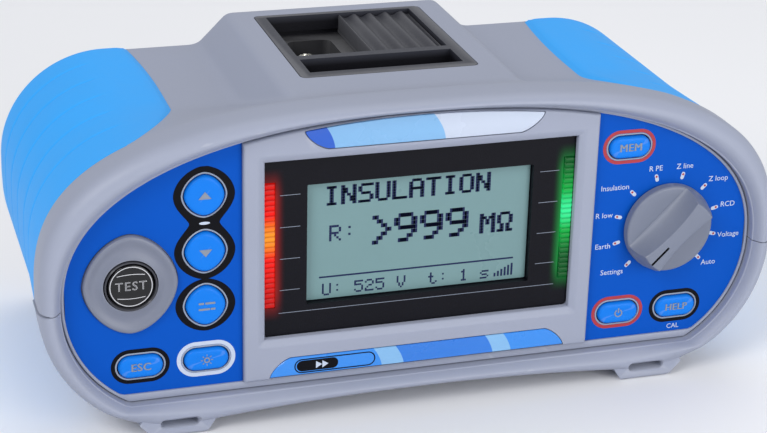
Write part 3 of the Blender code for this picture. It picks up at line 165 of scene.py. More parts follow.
def piece(name, patches, finish, body="case", replaces=(), sharp_deg=38.0):
    """A finished piece that rides on a body and may stand for CAD nodes."""
    made = bpy.data.objects.new(name, make_mesh(name, patches, sharp_deg))
    bpy.context.scene.collection.objects.link(made)
    return dress(made, finish, body, replaces)


def dress(made, finish, body="case", replaces=()):
    made.data.materials.clear()
    made.data.materials.append(finish)
    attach(made, body)
    if replaces:
        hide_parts(*replaces)
    return made


def worked(made, tools, operation="DIFFERENCE", sharp_deg=38.0):
    """Cuts or joins closed solids and keeps the result as the piece's own mesh."""
    tool = bpy.data.objects.new("tool", make_mesh("tool", tools))
    bpy.context.scene.collection.objects.link(tool)
    step = made.modifiers.new("work", "BOOLEAN")
    step.operation, step.solver, step.object = operation, "EXACT", tool
    bpy.context.view_layer.update()
    graph = bpy.context.evaluated_depsgraph_get()
    result = bpy.data.meshes.new_from_object(made.evaluated_get(graph))
    made.modifiers.clear()
    made.data = result
    result.shade_smooth()
    result.set_sharp_from_angle(angle=math.radians(sharp_deg))
    bpy.data.objects.remove(tool)
    return made


# ---------------------------------------------------------------- outlines in the x-z plane

def superellipse(centre, size, exponent=2.0, count=96):
    """Closed curve |u/a|^n + |v/b|^n = 1, with points spaced by angle."""
    t = np.arange(count) * 2 * np.pi / count
    c, s = np.cos(t), np.sin(t)
    return np.column_stack([centre[0] + np.sign(c) * np.abs(c) ** (2 / exponent) * size[0] / 2,
                            centre[1] + np.sign(s) * np.abs(s) ** (2 / exponent) * size[1] / 2])


def circle(centre, radius, count=64):
    return superellipse(centre, (2 * radius, 2 * radius), 2.0, count)


def rounded(centre, size, radius, per_corner=10):
    """Rectangle whose corners are quarter circles."""
    turn = np.linspace(0, np.pi / 2, per_corner)
    arcs = []
    for k, (sx, sy) in enumerate([(1, 1), (-1, 1), (-1, -1), (1, -1)]):
        a = turn + k * np.pi / 2
        arcs.append(np.column_stack([centre[0] + sx * (size[0] / 2 - radius) + radius * np.cos(a),
                                     centre[1] + sy * (size[1] / 2 - radius) + radius * np.sin(a)]))
    return np.concatenate(arcs)


def oval(centre, size, grow=0.0, per_corner=14):
    wide, high = size[0] + 2 * grow, size[1] + 2 * grow
    return rounded(centre, (wide, high), high / 2 - 0.01, per_corner)


def facing(outline, y):
    """An x-z outline at a depth; the depth may differ from point to point."""
    return np.column_stack([outline[:, 0], np.broadcast_to(y, len(outline)), outline[:, 1]])


def lying(outline, z):
    """An x-y outline at a height."""
    return np.column_stack([outline, np.full(len(outline), z)])


def solid_y(outline, low, high):
    return capped(np.stack([facing(outline, low), facing(outline, high)]))


def solid_z(outline, low, high):
    return capped(np.stack([lying(outline, low), lying(outline, high)]))


def turned_rows(centre, profile, count=64):
    """Circles about an axis along y, one for each (radius, depth) pair."""
    return np.stack([facing(circle(centre, r, count), y) for r, y in profile])


def turned(outline, angle):
    """An outline turned about the origin, from +x towards +z."""
    c, s = math.cos(angle), math.sin(angle)
    return outline @ np.array([[c, s], [-s, c]])


def polar(radius, angle, y):
    """Points about the middle of the seam, at a depth."""
    radius = np.broadcast_to(radius, angle.shape)
    return np.column_stack([radius * np.cos(angle), np.broadcast_to(y, angle.shape),
                            SEAM_Z + radius * np.sin(angle)])


def plate(outlines, low, high):
    """Flat plate with holes, from nested x-z outlines, as a patch. The first outline is the outer edge."""
    curve = bpy.data.curves.new("plate", "CURVE")
    curve.dimensions, curve.fill_mode, curve.extrude = "2D", "BOTH", (high - low) / 2
    for outline in outlines:
        spline = curve.splines.new("POLY")
        spline.points.add(len(outline) - 1)
        flat = np.column_stack([outline, np.zeros(len(outline)), np.ones(len(outline))])
        spline.points.foreach_set("co", flat.ravel())
        spline.use_cyclic_u = True
    return curve_patch(curve, (0.0, (low + high) / 2, 0.0))


def thin_bar(centre, size, radius, low, high, per_corner=2):
    return plate([rounded(centre, size, radius, per_corner)], low, high)


def curve_patch(curve, place):
    """Mesh of a flat curve stood upright, facing the user, as (points, faces) in design millimetres."""
    holder = bpy.data.objects.new("curve", curve)
    bpy.context.scene.collection.objects.link(holder)
    bpy.context.view_layer.update()
    graph = bpy.context.evaluated_depsgraph_get()
    mesh = bpy.data.meshes.new_from_object(holder.evaluated_get(graph))
    flat = np.zeros(len(mesh.vertices) * 3)
    mesh.vertices.foreach_get("co", flat)
    flat = flat.reshape(-1, 3)
    faces = [list(p.vertices) for p in mesh.polygons]
    bpy.data.objects.remove(holder)
    bpy.data.curves.remove(curve)
    bpy.data.meshes.remove(mesh)
    return np.column_stack([flat[:, 0] + place[0], place[1] - flat[:, 2], flat[:, 1] + place[2]]), faces


def lettering(text, size, place, thick=0.08, align="CENTER", spacing=1.0, offset=0.0):
    """Words as thin raised print whose middle line passes through `place`."""
    curve = bpy.data.curves.new("words", "FONT")
    curve.body, curve.size, curve.extrude = text, size, thick / 2
    curve.align_x, curve.align_y = align, "CENTER"
    curve.space_character, curve.offset = spacing, offset
    curve.resolution_u = 3
    return curve_patch(curve, place)


# ---------------------------------------------------------------- outlines of the case

def mirrored(outline):
    return outline[::-1] * np.array([-1, 1])


def radius_of(half):
    """Radius about the middle of the seam as a function of angle, from the points of the right half."""
    loop = np.concatenate([half, mirrored(half)])
    angle = np.arctan2(loop[:, 1] - SEAM_Z, loop[:, 0]) % (2 * np.pi)
    radius = np.hypot(loop[:, 0], loop[:, 1] - SEAM_Z)
    order = np.argsort(angle)
    return lambda at: np.interp(at, angle[order], radius[order], period=2 * np.pi)


def lower_half(half_width):
    x = np.linspace(0, CORNER_X, 160)
    arch = np.column_stack([x, CASE_BOTTOM + BOTTOM_ARCH * (1 - (x / CORNER_X) ** 2)])
    t = np.linspace(-np.pi / 2, 0, 300)[1:]
    corner = np.column_stack([CORNER_X + (half_width - CORNER_X) * np.cos(t),
                              SEAM_Z + (SEAM_Z - CASE_BOTTOM) * np.sin(t)])
    return np.concatenate([arch, corner])


def superellipse_top(half_width, top, exponent):
    t = np.linspace(0, np.pi / 2, 600)[1:]
    return np.column_stack([half_width * np.cos(t) ** (2 / exponent),
                            SEAM_Z + (top - SEAM_Z) * np.sin(t) ** (2 / exponent)])


def cornered_top(half_width, top, radius):
    t = np.linspace(0, np.pi / 2, 300)
    arc = np.column_stack([half_width - radius + radius * np.cos(t), top - radius + radius * np.sin(t)])
    x = np.linspace(half_width - radius, 0, 160)[1:]
    return np.concatenate([arc, np.column_stack([x, np.full(len(x), top)])])


def panel_half(grow, floor):
    """Right half of the foil outline grown by a rim: flat floor, corner arc, superellipse top."""
    radius = FOIL_HALF - FOIL_CORNER_X + grow
    low = -math.asin(min(1.0, (SEAM_Z - floor) / radius))
    t = np.linspace(low, 0, 200)
    corner = np.column_stack([FOIL_CORNER_X + radius * np.cos(t), SEAM_Z + radius * np.sin(t)])
    x = np.linspace(0, corner[0, 0], 160)[:-1]
    return np.concatenate([np.column_stack([x, np.full(len(x), floor)]), corner,
                           superellipse_top(FOIL_HALF + grow, FOIL_TOP + grow, FOIL_EXPONENT)])


ring_radius = radius_of(np.concatenate([
    lower_half(RING_HALF), superellipse_top(RING_HALF, RING_TOP, RING_EXPONENT)]))
body_radius = radius_of(np.concatenate([
    lower_half(BODY_HALF), cornered_top(BODY_HALF, BODY_TOP, BODY_CORNER)]))
cover_radius = radius_of(np.concatenate([
    lower_half(BODY_HALF + COVER_SIDE),
    cornered_top(BODY_HALF + COVER_SIDE, BODY_TOP + COVER_PROUD, BODY_CORNER + COVER_SIDE)]))
opening_radius = radius_of(panel_half(RIM + GAP, FOIL_LOW - RIM_BOTTOM - GAP))
rim_radius = radius_of(panel_half(RIM, FOIL_LOW - RIM_BOTTOM))
foil_radius = radius_of(panel_half(0.0, FOIL_LOW))


def soft_max(a, b, reach):
    """The larger of two, rounded where they are closer than `reach`."""
    near = np.maximum(reach - np.abs(a - b), 0) / reach
    return np.maximum(a, b) + near * near * reach / 4


def soft_min(a, b, reach):
    return -soft_max(-np.asarray(a), -np.asarray(b), reach)


def slope(y):
    """0 at the ring, 1 on the rear body, a straight ramp with eased ends in between."""
    t = (np.asarray(y, float) - SLOPE_START) / (SLOPE_END - SLOPE_START)
    return soft_min(soft_max(t, 0.0, 0.10), 1.0, 0.16)


def inset(outline_radius, distance):
    """The outline moved inwards square to itself."""
    angle = np.arange(2880) * np.pi / 1440
    radius = outline_radius(angle)
    x, z = radius * np.cos(angle), radius * np.sin(angle)
    run, rise = np.roll(x, -1) - np.roll(x, 1), np.roll(z, -1) - np.roll(z, 1)
    length = np.hypot(run, rise)
    x, z = x - distance * rise / length, z + distance * run / length
    moved = np.arctan2(z, x) % (2 * np.pi)
    order = np.argsort(moved)
    return lambda at: np.interp(at, moved[order], np.hypot(x, z)[order], period=2 * np.pi)


def hump_radius(angle):
    """Polar outline of the raised block on top: a flat top between two 45 degree sides."""
    lift = np.maximum(np.sin(angle), 0.05)
    top = (PANEL_TOP - SEAM_Z) / lift
    lean = (HUMP_HALF_FOOT - HUMP_HALF_TOP) / (PANEL_TOP - HUMP_FOOT_Z)
    side = (HUMP_HALF_TOP + lean * (PANEL_TOP - SEAM_Z)) / (np.abs(np.cos(angle)) + lean * lift)
    return soft_min(top, side, HUMP_EDGE)


def outer_radius(angle, y):
    """Outer face of the case: ring running down into the body, with the raised block growing out of it."""
    s = slope(y)
    plain = (1 - s) * ring_radius(angle) + s * body_radius(angle)
    raised = soft_max(plain, hump_radius(angle), HUMP_ROOT)
    return np.where(np.sin(angle) > 0.3, raised, plain)


def cover_layer(depth):
    """A surface at some depth under the covers' faces, as a function of angle and y."""
    front, rear = inset(ring_radius, COVER_STEP + depth), inset(cover_radius, depth)
    return lambda angle, y: (1 - slope(y)) * front(angle) + slope(y) * rear(angle)


POCKET_WALL = 2.2
cover_face = cover_layer(0.0)
pocket_face = cover_layer(COVER_THICK + GAP)
cavity_face = cover_layer(COVER_THICK + GAP + POCKET_WALL)

COVER_FRONT = SLOPE_START
COVER_INNER, COVER_FRONT_TOP, COVER_SWEEP = 69.5, 87.0, 0.55
COVER_BOW, BOW_START, BOW_LENGTH = 3.0, 58.0, 45.0


def cover_edge_x(y):
    """Where a cover's inner edge runs: swept in behind the ring, then bowed gently out to the rear."""
    y = np.asarray(y, float)
    share = np.clip((y - COVER_FRONT) / (SLOPE_END - COVER_FRONT), 0, 1)
    bow = COVER_BOW * (np.clip((y - BOW_START) / BOW_LENGTH, 0, 1)) ** 2
    return COVER_INNER + (COVER_FRONT_TOP - COVER_INNER) * (1 - share ** COVER_SWEEP) + bow


def cover_edge_angle(y):
    """Angle at which the cover's face reaches its inner edge, for an array of depths."""
    fan = np.linspace(0.2, 1.4, 900)
    edges = []
    for station in np.atleast_1d(y):
        reach = cover_face(fan, station) * np.cos(fan)
        edges.append(np.interp(-float(cover_edge_x(station)), -reach, fan))
    return np.array(edges)


# ---------------------------------------------------------------- node groups shared by the finishes

def new_group(name, inputs, outputs):
    group = bpy.data.node_groups.new(name, "ShaderNodeTree")
    for socket_name, kind, default in inputs:
        made = group.interface.new_socket(socket_name, in_out="INPUT", socket_type=kind)
        made.default_value = default
    for socket_name, kind in outputs:
        group.interface.new_socket(socket_name, in_out="OUTPUT", socket_type=kind)
    return group, group.nodes.new("NodeGroupInput"), group.nodes.new("NodeGroupOutput")


def node(tree, kind, settings=None, **inputs):
    """A node with its settings and with inputs, by name or as i and an index, set or linked."""
    made = tree.nodes.new(kind)
    for key, value in (settings or {}).items():
        setattr(made, key, value)
    for key, value in inputs.items():
        socket = made.inputs[int(key[1:])] if key[0] == "i" and key[1:].isdigit() else made.inputs[key]
        if isinstance(value, bpy.types.NodeSocket):
            tree.links.new(value, socket)
        else:
            socket.default_value = value
    return made


def maths(tree, operation, *values):
    inputs = {f"i{k}": value for k, value in enumerate(values)}
    return node(tree, "ShaderNodeMath", {"operation": operation}, **inputs).outputs[0]


def mix(tree, share, first, second):
    """Blend of two colours; each is a socket or a red, green, blue, alpha tuple."""
    return node(tree, "ShaderNodeMix", {"data_type": "RGBA"}, i0=share, i6=first, i7=second).outputs[2]


def ramp(tree, value, low, high):
    """0 up to `low`, 1 from `high` on, straight in between."""
    return node(tree, "ShaderNodeMapRange", None, Value=value, i1=low, i2=high).outputs[0]


def scaled(tree, colour, level):
    return node(tree, "ShaderNodeVectorMath", {"operation": "SCALE"}, i0=colour, Scale=level).outputs[0]


def noise(tree, scale, detail, rough=0.5):
    place = node(tree, "ShaderNodeTexCoord").outputs["Object"]
    return node(tree, "ShaderNodeTexNoise", None, Vector=place, Scale=scale, Detail=detail,
                Roughness=rough).outputs[0]


def axes(tree):
    """The object coordinates, as outputs X, Y and Z in metres."""
    place = node(tree, "ShaderNodeTexCoord").outputs["Object"]
    return node(tree, "ShaderNodeSeparateXYZ", None, i0=place).outputs


def grain_group():
    """Moulding grain: fine noise plus half of a noise 14 times as broad, as a height."""
    group, entry, leave = new_group("moulding_grain", [("Scale", "NodeSocketFloat", 2400.0)],
                                    [("Height", "NodeSocketFloat")])
    scale = entry.outputs["Scale"]
    fine = noise(group, scale, 2.0)
    broad = noise(group, maths(group, "MULTIPLY", scale, 0.07), 1.0)
    group.links.new(maths(group, "MULTIPLY_ADD", broad, 0.5, fine), leave.inputs["Height"])
    return group


DUST_COLOUR, WORN_COLOUR = (0.62, 0.61, 0.60, 1.0), (0.75, 0.75, 0.76, 1.0)
PATCH_SCALE, SPECK_SCALE = 38.0, 900.0


def tone_group():
    """Handling and age. Broad patches scale the tone by 1 + Patches (n - 0.5) and add 0.18 (n - 0.5) to
    the roughness, with n their noise; dust lightens what faces up and raised edges wear paler."""
    group, entry, leave = new_group(
        "handled_tone",
        [("Color", "NodeSocketColor", (0.5, 0.5, 0.5, 1.0)), ("Patches", "NodeSocketFloat", 0.06),
         ("Dust", "NodeSocketFloat", 0.05), ("Wear", "NodeSocketFloat", 0.1),
         ("Roughness", "NodeSocketFloat", 0.5)],
        [("Color", "NodeSocketColor"), ("Roughness", "NodeSocketFloat")])
    given = entry.outputs
    shape = node(group, "ShaderNodeNewGeometry").outputs
    patches = maths(group, "SUBTRACT", noise(group, PATCH_SCALE, 4.0, 0.6), 0.5)
    toned = scaled(group, given["Color"], maths(group, "MULTIPLY_ADD", patches, given["Patches"], 1.0))
    facing_up = node(group, "ShaderNodeSeparateXYZ", None, i0=shape["Normal"]).outputs["Z"]
    specks = maths(group, "MULTIPLY", ramp(group, facing_up, 0.35, 1.0), noise(group, SPECK_SCALE, 3.0))
    powdered = mix(group, maths(group, "MULTIPLY", specks, given["Dust"]), toned, DUST_COLOUR)
    worn = maths(group, "MULTIPLY", ramp(group, shape["Pointiness"], 0.53, 0.62), given["Wear"])
    group.links.new(mix(group, worn, powdered, WORN_COLOUR), leave.inputs["Color"])
    group.links.new(maths(group, "MULTIPLY_ADD", patches, 0.18, given["Roughness"]),
                    leave.inputs["Roughness"])
    return group


MOULDING_GRAIN = grain_group()
HANDLED_TONE = tone_group()


def new_material(name):
    made = bpy.data.materials.new(name)
    made.use_nodes = True
    return made, made.node_tree, made.node_tree.nodes["Principled BSDF"]


def set_tone(tree, shader, colour, patches, dust, wear, rough):
    tone = node(tree, "ShaderNodeGroup", {"node_tree": HANDLED_TONE}, Color=colour, Patches=patches,
                Dust=dust, Wear=wear, Roughness=rough)
    tree.links.new(tone.outputs["Color"], shader.inputs["Base Color"])
    tree.links.new(tone.outputs["Roughness"], shader.inputs["Roughness"])
    return tone


def plastic(name, colour, rough, patches=0.08, dust=0.05, wear=0.08, grain=2400.0, bump=0.05, coat=0.0,
            metallic=0.0, specular=0.5):
    """Moulded or coated surface: tone and roughness from the tone group, fine bump from the grain group."""
    made, tree, shader = new_material(name)
    set_tone(tree, shader, (*colour, 1.0), patches, dust, wear, rough)
    if bump:
        height = node(tree, "ShaderNodeGroup", {"node_tree": MOULDING_GRAIN}, Scale=grain)
        relief = node(tree, "ShaderNodeBump", None, Height=height.outputs[0], Strength=bump, Distance=0.0002)
        tree.links.new(relief.outputs[0], shader.inputs["Normal"])
    shader.inputs["Coat Weight"].default_value = coat
    shader.inputs["Coat Roughness"].default_value = 0.12
    shader.inputs["Metallic"].default_value = metallic
    shader.inputs["Specular IOR Level"].default_value = specular
    return made


def distance(tree, socket, centre):
    """Absolute distance of a coordinate from a value in millimetres."""
    return maths(tree, "ABSOLUTE", maths(tree, "SUBTRACT", socket, centre * MM))


def fade(tree, socket, near, far):
    """Smooth fall from 1 at a near distance to 0 at a far one, both in millimetres."""
    return node(tree, "ShaderNodeMapRange", {"interpolation_type": "SMOOTHSTEP"}, Value=socket,
                i1=near * MM, i2=far * MM, i3=1.0, i4=0.0).outputs[0]


def glowing_bar(name, ends, main, hot, centre_z, reach, rib_pitch):
    """Light guide: hot at one height, deep in colour at its ends. Between its ribs the glow is less, by
    0.55 + 0.45 |sin(pi z / pitch)|."""
    made, tree, shader = new_material(name)
    z = axes(tree)["Z"]
    away = distance(tree, z, centre_z)
    lit = mix(tree, fade(tree, away, 3.0, reach), (*ends, 1.0), (*main, 1.0))
    hotter = mix(tree, fade(tree, away, 0.0, 7.5), lit, (*hot, 1.0))
    phase = maths(tree, "MULTIPLY", z, math.pi / (rib_pitch * MM))
    level = maths(tree, "MULTIPLY_ADD", maths(tree, "ABSOLUTE", maths(tree, "SINE", phase)), 0.45, 0.55)
    tree.links.new(scaled(tree, hotter, level), shader.inputs["Emission Color"])
    shader.inputs["Base Color"].default_value = (*[0.12 * c for c in main], 1.0)
    shader.inputs["Emission Strength"].default_value = 1.0
    shader.inputs["Roughness"].default_value = 0.35
    shader.inputs["Specular IOR Level"].default_value = 0.2
    return made


def mask_with_painted_spill(name):
    """Black window moulding, with red and green light from the two bars painted onto it as a glow beside each
    bar.
    """
    made = plastic(name, (0.004, 0.004, 0.007), 0.38, 0.3, 0.0, 0.0, 2200.0, 0.25, specular=0.12)
    tree = made.node_tree
    shader = tree.nodes["Principled BSDF"]
    place = axes(tree)
    # painted light: the bars' spill is emission on the moulding, strongest beside each bar near the glow's
    # height
    height = fade(tree, distance(tree, place["Z"], GLOW_Z), 14.0, 25.0)
    painted_spills = []
    for side, colour in ((-1, (0.42, 0.012, 0.004)), (1, (0.006, 0.34, 0.05))):
        beside = fade(tree, distance(tree, place["X"], side * BAR_X), 1.2, 5.5)
        squared = maths(tree, "MULTIPLY", beside, beside)
        painted_spills.append(scaled(tree, colour, maths(tree, "MULTIPLY", squared, height)))
    both = node(tree, "ShaderNodeVectorMath", {"operation": "ADD"}, i0=painted_spills[0], i1=painted_spills[1])
    tree.links.new(both.outputs[0], shader.inputs["Emission Color"])
    shader.inputs["Emission Strength"].default_value = 0.8
    return made


def recess_painted_shade(name):
    """Black moulding, grey on its top rim and darker lower down: painted shade deepening down inside the
    recess.
    """
    # rim is the moulding's own grey; deep is painted shade for the recess walls, which are the same moulding
    rim, deep = (0.034, 0.036, 0.048), (0.007, 0.007, 0.010)
    made = plastic(name, rim, 0.44, 0.3, 0.05, 0.12, 1900.0, 0.25, specular=0.2)
    tree = made.node_tree
    tone = next(n for n in tree.nodes if n.bl_idname == "ShaderNodeGroup" and n.node_tree == HANDLED_TONE)
    # painted shade: the colour goes from rim grey to deep black within 2.5 mm below the panel top
    height = ramp(tree, axes(tree)["Z"], (PANEL_TOP - 2.5) * MM, (PANEL_TOP - 0.3) * MM)
    tree.links.new(mix(tree, height, (*deep, 1.0), (*rim, 1.0)), tone.inputs["Color"])
    return made


BORDER_BOW, BORDER_SLANT, BORDER_BLUR = 45.0, 0.45, 0.05


def badge_print(name, zones, centre_z):
    """Printed strip under clear coat. Its colour changes where x + 0.45 r + 45 r^2 passes a zone's start,
    with r the height over the strip's middle, in metres."""
    made, tree, shader = new_material(name)
    place = axes(tree)
    rise = maths(tree, "SUBTRACT", place["Z"], centre_z * MM)
    bowed = maths(tree, "MULTIPLY_ADD", maths(tree, "MULTIPLY", rise, rise), BORDER_BOW, place["X"])
    slanted = maths(tree, "MULTIPLY_ADD", rise, BORDER_SLANT, bowed)
    colour = (*zones[0][1], 1.0)
    for start, next_colour in zones[1:]:
        step = ramp(tree, slanted, (start - BORDER_BLUR) * MM, (start + BORDER_BLUR) * MM)
        colour = mix(tree, step, colour, (*next_colour, 1.0))
    set_tone(tree, shader, colour, 0.08, 0.02, 0.0, 0.28)
    shader.inputs["Coat Weight"].default_value = 0.4
    return made


CASE_GREY = plastic("case_grey_moulding", (0.285, 0.310, 0.395), 0.46, 0.07, 0.04, 0.10, 2600.0, 0.12,
                    specular=0.4)
SURROUND_GREY = plastic("surround_grey_moulding", (0.158, 0.175, 0.232), 0.42, 0.08, 0.03, 0.08, 2600.0,
                        0.07)
COVER_BLUE = plastic("cover_blue_soft_touch", (0.016, 0.355, 0.88), 0.55, 0.08, 0.03, 0.04, 3200.0, 0.14,
                     specular=0.35)
FOIL_BLUE = plastic("foil_blue_print", (0.001, 0.074, 0.43), 0.45, 0.10, 0.005, 0.0, 3600.0, 0.06,
                    specular=0.07)
KEY_BLUE = plastic("key_blue_silicone", (0.001, 0.170, 0.68), 0.40, 0.06, 0.01, 0.06, 2800.0, 0.05,
                   specular=0.18)
BLACK_MOULDING = plastic("black_moulding", (0.024, 0.025, 0.034), 0.42, 0.3, 0.05, 0.12, 1900.0, 0.25,
                         specular=0.3)
# recess finish with painted shade down inside
RECESS_PAINTED_SHADE = recess_painted_shade("recess_painted_shade")
GLOSS_BLACK = plastic("button_gloss_black", (0.002, 0.002, 0.003), 0.14, 0.2, 0.0, 0.0, 2600.0, 0.0, 0.15,
                      specular=0.35)
KNOB_GREY = plastic("knob_grey_satin", (0.160, 0.180, 0.240), 0.40, 0.12, 0.05, 0.12, 2600.0, 0.10,
                    specular=0.4)
PRINT_BLACK = plastic("print_black", (0.001, 0.001, 0.003), 0.42, 0.2, 0.01, 0.0, 3600.0, 0.03,
                      specular=0.12)
PRINT_WHITE = plastic("print_white", (0.48, 0.54, 0.66), 0.45, 0.08, 0.0, 0.0, 3600.0, 0.03)
PRINT_RED = plastic("print_red", (0.36, 0.018, 0.028), 0.42, 0.12, 0.02, 0.0, 3600.0, 0.03)
LEGEND_GREY = plastic("legend_grey", (0.200, 0.230, 0.290), 0.45, 0.15, 0.0, 0.0, 3600.0, 0.03)
GASKET_GREY = plastic("gasket_pale_grey", (0.26, 0.30, 0.38), 0.42, 0.10, 0.02, 0.0, 3000.0, 0.05)
CHROME = plastic("thin_chrome", (0.72, 0.72, 0.74), 0.16, 0.2, 0.0, 0.0, 2600.0, 0.0, metallic=1.0)
NICKEL = plastic("nickel_contact", (0.78, 0.76, 0.68), 0.22, 0.2, 0.02, 0.1, 2200.0, 0.03, metallic=1.0)
STEEL = plastic("zinc_plated_steel", (0.55, 0.56, 0.58), 0.34, 0.3, 0.02, 0.2, 1500.0, 0.08, metallic=1.0)
BOARD_GREEN = plastic("board_green_mask", (0.012, 0.13, 0.05), 0.35, 0.3, 0.02, 0.0, 1200.0, 0.08, 0.3)
WHITE_PLASTIC = plastic("white_moulding", (0.74, 0.74, 0.72), 0.45, 0.06, 0.03, 0.05, 2400.0, 0.06)
SLEEVE = plastic("cell_sleeve", (0.05, 0.22, 0.08), 0.30, 0.15, 0.02, 0.1, 1800.0, 0.03, 0.4)
CERAMIC = plastic("fuse_glaze", (0.80, 0.78, 0.72), 0.30, 0.08, 0.02, 0.0, 1800.0, 0.04, 0.3)
LABEL = plastic("label_stock", (0.60, 0.62, 0.66), 0.50, 0.05, 0.03, 0.0, 2600.0, 0.05)
LCD_GREY = plastic("lcd_grey_green", (0.152, 0.258, 0.268), 0.30, 0.07, 0.0, 0.0, 5200.0, 0.03, specular=0.3)
LCD_INK = plastic("lcd_ink", (0.006, 0.012, 0.062), 0.40, 0.1, 0.0, 0.0, 5200.0, 0.02, specular=0.2)
BAR_X = middle("green_light_bar")[0]
GLOW_Z = middle("green_light_bar")[2]
# window moulding with the bars' spill light painted on as a glow
MASK_BLACK_PAINTED_SPILL = mask_with_painted_spill("window_black_painted_spill")


# ---------------------------------------------------------------- the two halves of the case

FILLET = 0.45
EDGE_STEPS = (0.02, 0.15, 0.5)       # how far outside a pocket's edge the extra grid lines run
POCKET_FRONT = COVER_FRONT
POCKET_REAR = COVER_REAR + GAP


def pocket_rows():
    """Depths of the body's rows, crowded where the pockets for the covers begin and end."""
    front = [POCKET_FRONT - e for e in EDGE_STEPS[::-1]] + [POCKET_FRONT + EDGE_STEPS[0]]
    rear = [POCKET_REAR - EDGE_STEPS[0]] + [POCKET_REAR + e for e in EDGE_STEPS[:2]]
    ramp = np.linspace(POCKET_FRONT + 0.6, SLOPE_END + 4.0, 34)
    straight = np.linspace(SLOPE_END + 6.0, POCKET_REAR - 1.0, 24)
    return np.concatenate([front, ramp, straight, rear])


def column_angles(y, upper):
    """Angles of a half's grid columns at each depth: even inside the covers' pockets and between them,
    with extra columns beside each pocket's edge, so the edge falls on a grid line all the way along."""
    y = np.asarray(y, float)
    edge = cover_edge_angle(np.maximum(y, POCKET_FRONT)) if upper else np.full(len(y), -COVER_LOW)
    inside, between = (70, 96) if upper else (22, 110)
    steps = np.array(EDGE_STEPS) / MEAN_RADIUS
    spread = np.concatenate([[0.0, 0.006], np.linspace(0.02, 1, inside)])
    cover = spread[None, :] * (edge[:, None] - steps[0])
    start = edge[:, None] + steps[None, :]
    rest = start[:, -1:] + np.linspace(0, 1, between)[None, 1:] * (np.pi / 2 - start[:, -1:])
    quarter = np.concatenate([cover, start, rest], axis=1)
    both = np.concatenate([quarter, np.pi - quarter[:, -2::-1]], axis=1)
    return both if upper else 2 * np.pi - both[:, ::-1]


def case_radius(angle, y):
    """Outer face with the pockets sunk into it: 2.3 mm under the covers' faces, a small round at the edge."""
    plain = outer_radius(angle, y)
    fold = np.where(np.cos(angle) < 0, np.pi - angle, angle)
    fold = (fold + np.pi) % (2 * np.pi) - np.pi
    edge = cover_edge_angle(np.array([max(y, POCKET_FRONT)]))[0]
    beyond = np.maximum(fold - edge, COVER_LOW - fold) * MEAN_RADIUS
    along = max(POCKET_FRONT - y, y - POCKET_REAR)
    away = np.hypot(np.maximum(beyond, 0), max(along, 0))
    inside = (beyond <= 0) & (along <= 0)
    softened = plain - FILLET * np.maximum(1 - away / FILLET, 0) ** 2 * 0.8
    return np.where(inside, np.minimum(plain, pocket_face(angle, y)), softened)


def ring_section():
    """Ring from its outer side to the foil opening, as (share of its width, depth) pairs: a full round
    over the outer shoulder, then a shallow fall to the inner lip and a tight round into the opening."""
    crest, lip = 0.46, -0.55 * RING_FRONT
    out = np.linspace(0, 1, 18)
    shoulder = 1 - (1 - crest) * np.sin(out * np.pi / 2) ** 1.15
    outwards = np.clip((shoulder - crest) / (1 - crest), 0, 1)
    depth = -1.0 - (RING_FRONT - 1.0) * (1 - outwards ** 2.1) ** (1 / 1.8)
    fall = np.linspace(crest, 0.06, 10)[1:]
    inner = -RING_FRONT + (RING_FRONT + lip) * ((crest - fall) / (crest - 0.06)) ** 1.8
    turn = np.linspace(0, np.pi / 2, 6)[1:]
    lip_share = 0.06 * (1 - np.sin(turn))
    lip_depth = lip + 0.7 * (1 - np.cos(turn))
    return (np.concatenate([shoulder, fall, lip_share]), np.concatenate([depth, inner, lip_depth]))


SEAM_CHAMFER = 0.5
ROUND_ROWS, SHOULDER_ROWS = 6, 14    # rows of the rear round and of the ring that the chamfer reaches


def case_grid(upper):
    """Half of the case as a grid: rows run from the rear wall over the body and ring into the opening and
    back inside the wall, columns run round from seam to seam. The outer rows' two end columns are moved by
    the chamfer, and all the end columns by half of the seam's gap."""
    body_y = pocket_rows()
    rear = column_angles([BODY_REAR], upper)[0]
    face = outer_radius(rear, BODY_REAR)
    rows = [polar(0.0, rear, BODY_REAR)]
    for t in np.linspace(0, np.pi / 2, ROUND_ROWS):
        rows.append(polar(face - REAR_ROUND * 0.6 * (1 - math.sin(t)), rear,
                          BODY_REAR - 0.75 * (1 - math.cos(t))))
    for y, angle in zip(body_y[::-1], column_angles(body_y[::-1], upper)):
        rows.append(polar(case_radius(angle, y), angle, y))
    front = column_angles([POCKET_FRONT], upper)[0]
    ring, opening = ring_radius(front), opening_radius(front)
    rows += [polar(ring, front, y) for y in (5.0, 2.0)]
    rows += [polar(opening + share * (ring - opening), front, y) for share, y in zip(*ring_section())]
    rows.append(polar(opening, front, 0.8))
    rows += [polar(np.maximum(cavity_face(front, y), opening + 1.2), front, y) for y in (1.0, SLOPE_START)]
    rows += [polar(cavity_face(front, y), front, y) for y in (SLOPE_END, BODY_REAR - 5.0)]
    rows.append(polar(0.0, front, BODY_REAR - 5.0))
    grid = np.stack(rows)
    lift = SEAM_GAP / 2 * (1 if upper else -1)
    outside = slice(ROUND_ROWS, ROUND_ROWS + len(body_y) + SHOULDER_ROWS)
    grid[outside, 0, 0] -= SEAM_CHAMFER
    grid[outside, -1, 0] += SEAM_CHAMFER
    grid[:, (0, -1), 2] += lift
    grid[(0, -1), 1:-1, 2] += lift
    return grid


def shell_patch(upper):
    """The grid closed by a flat face along each side of the seam."""
    grid = case_grid(upper)
    rows, columns = grid.shape[:2]
    points, faces = grid_patch(grid)
    first = [k * columns for k in range(rows)]
    last = [k * columns + columns - 1 for k in range(rows)]
    return points, faces + [first, last]


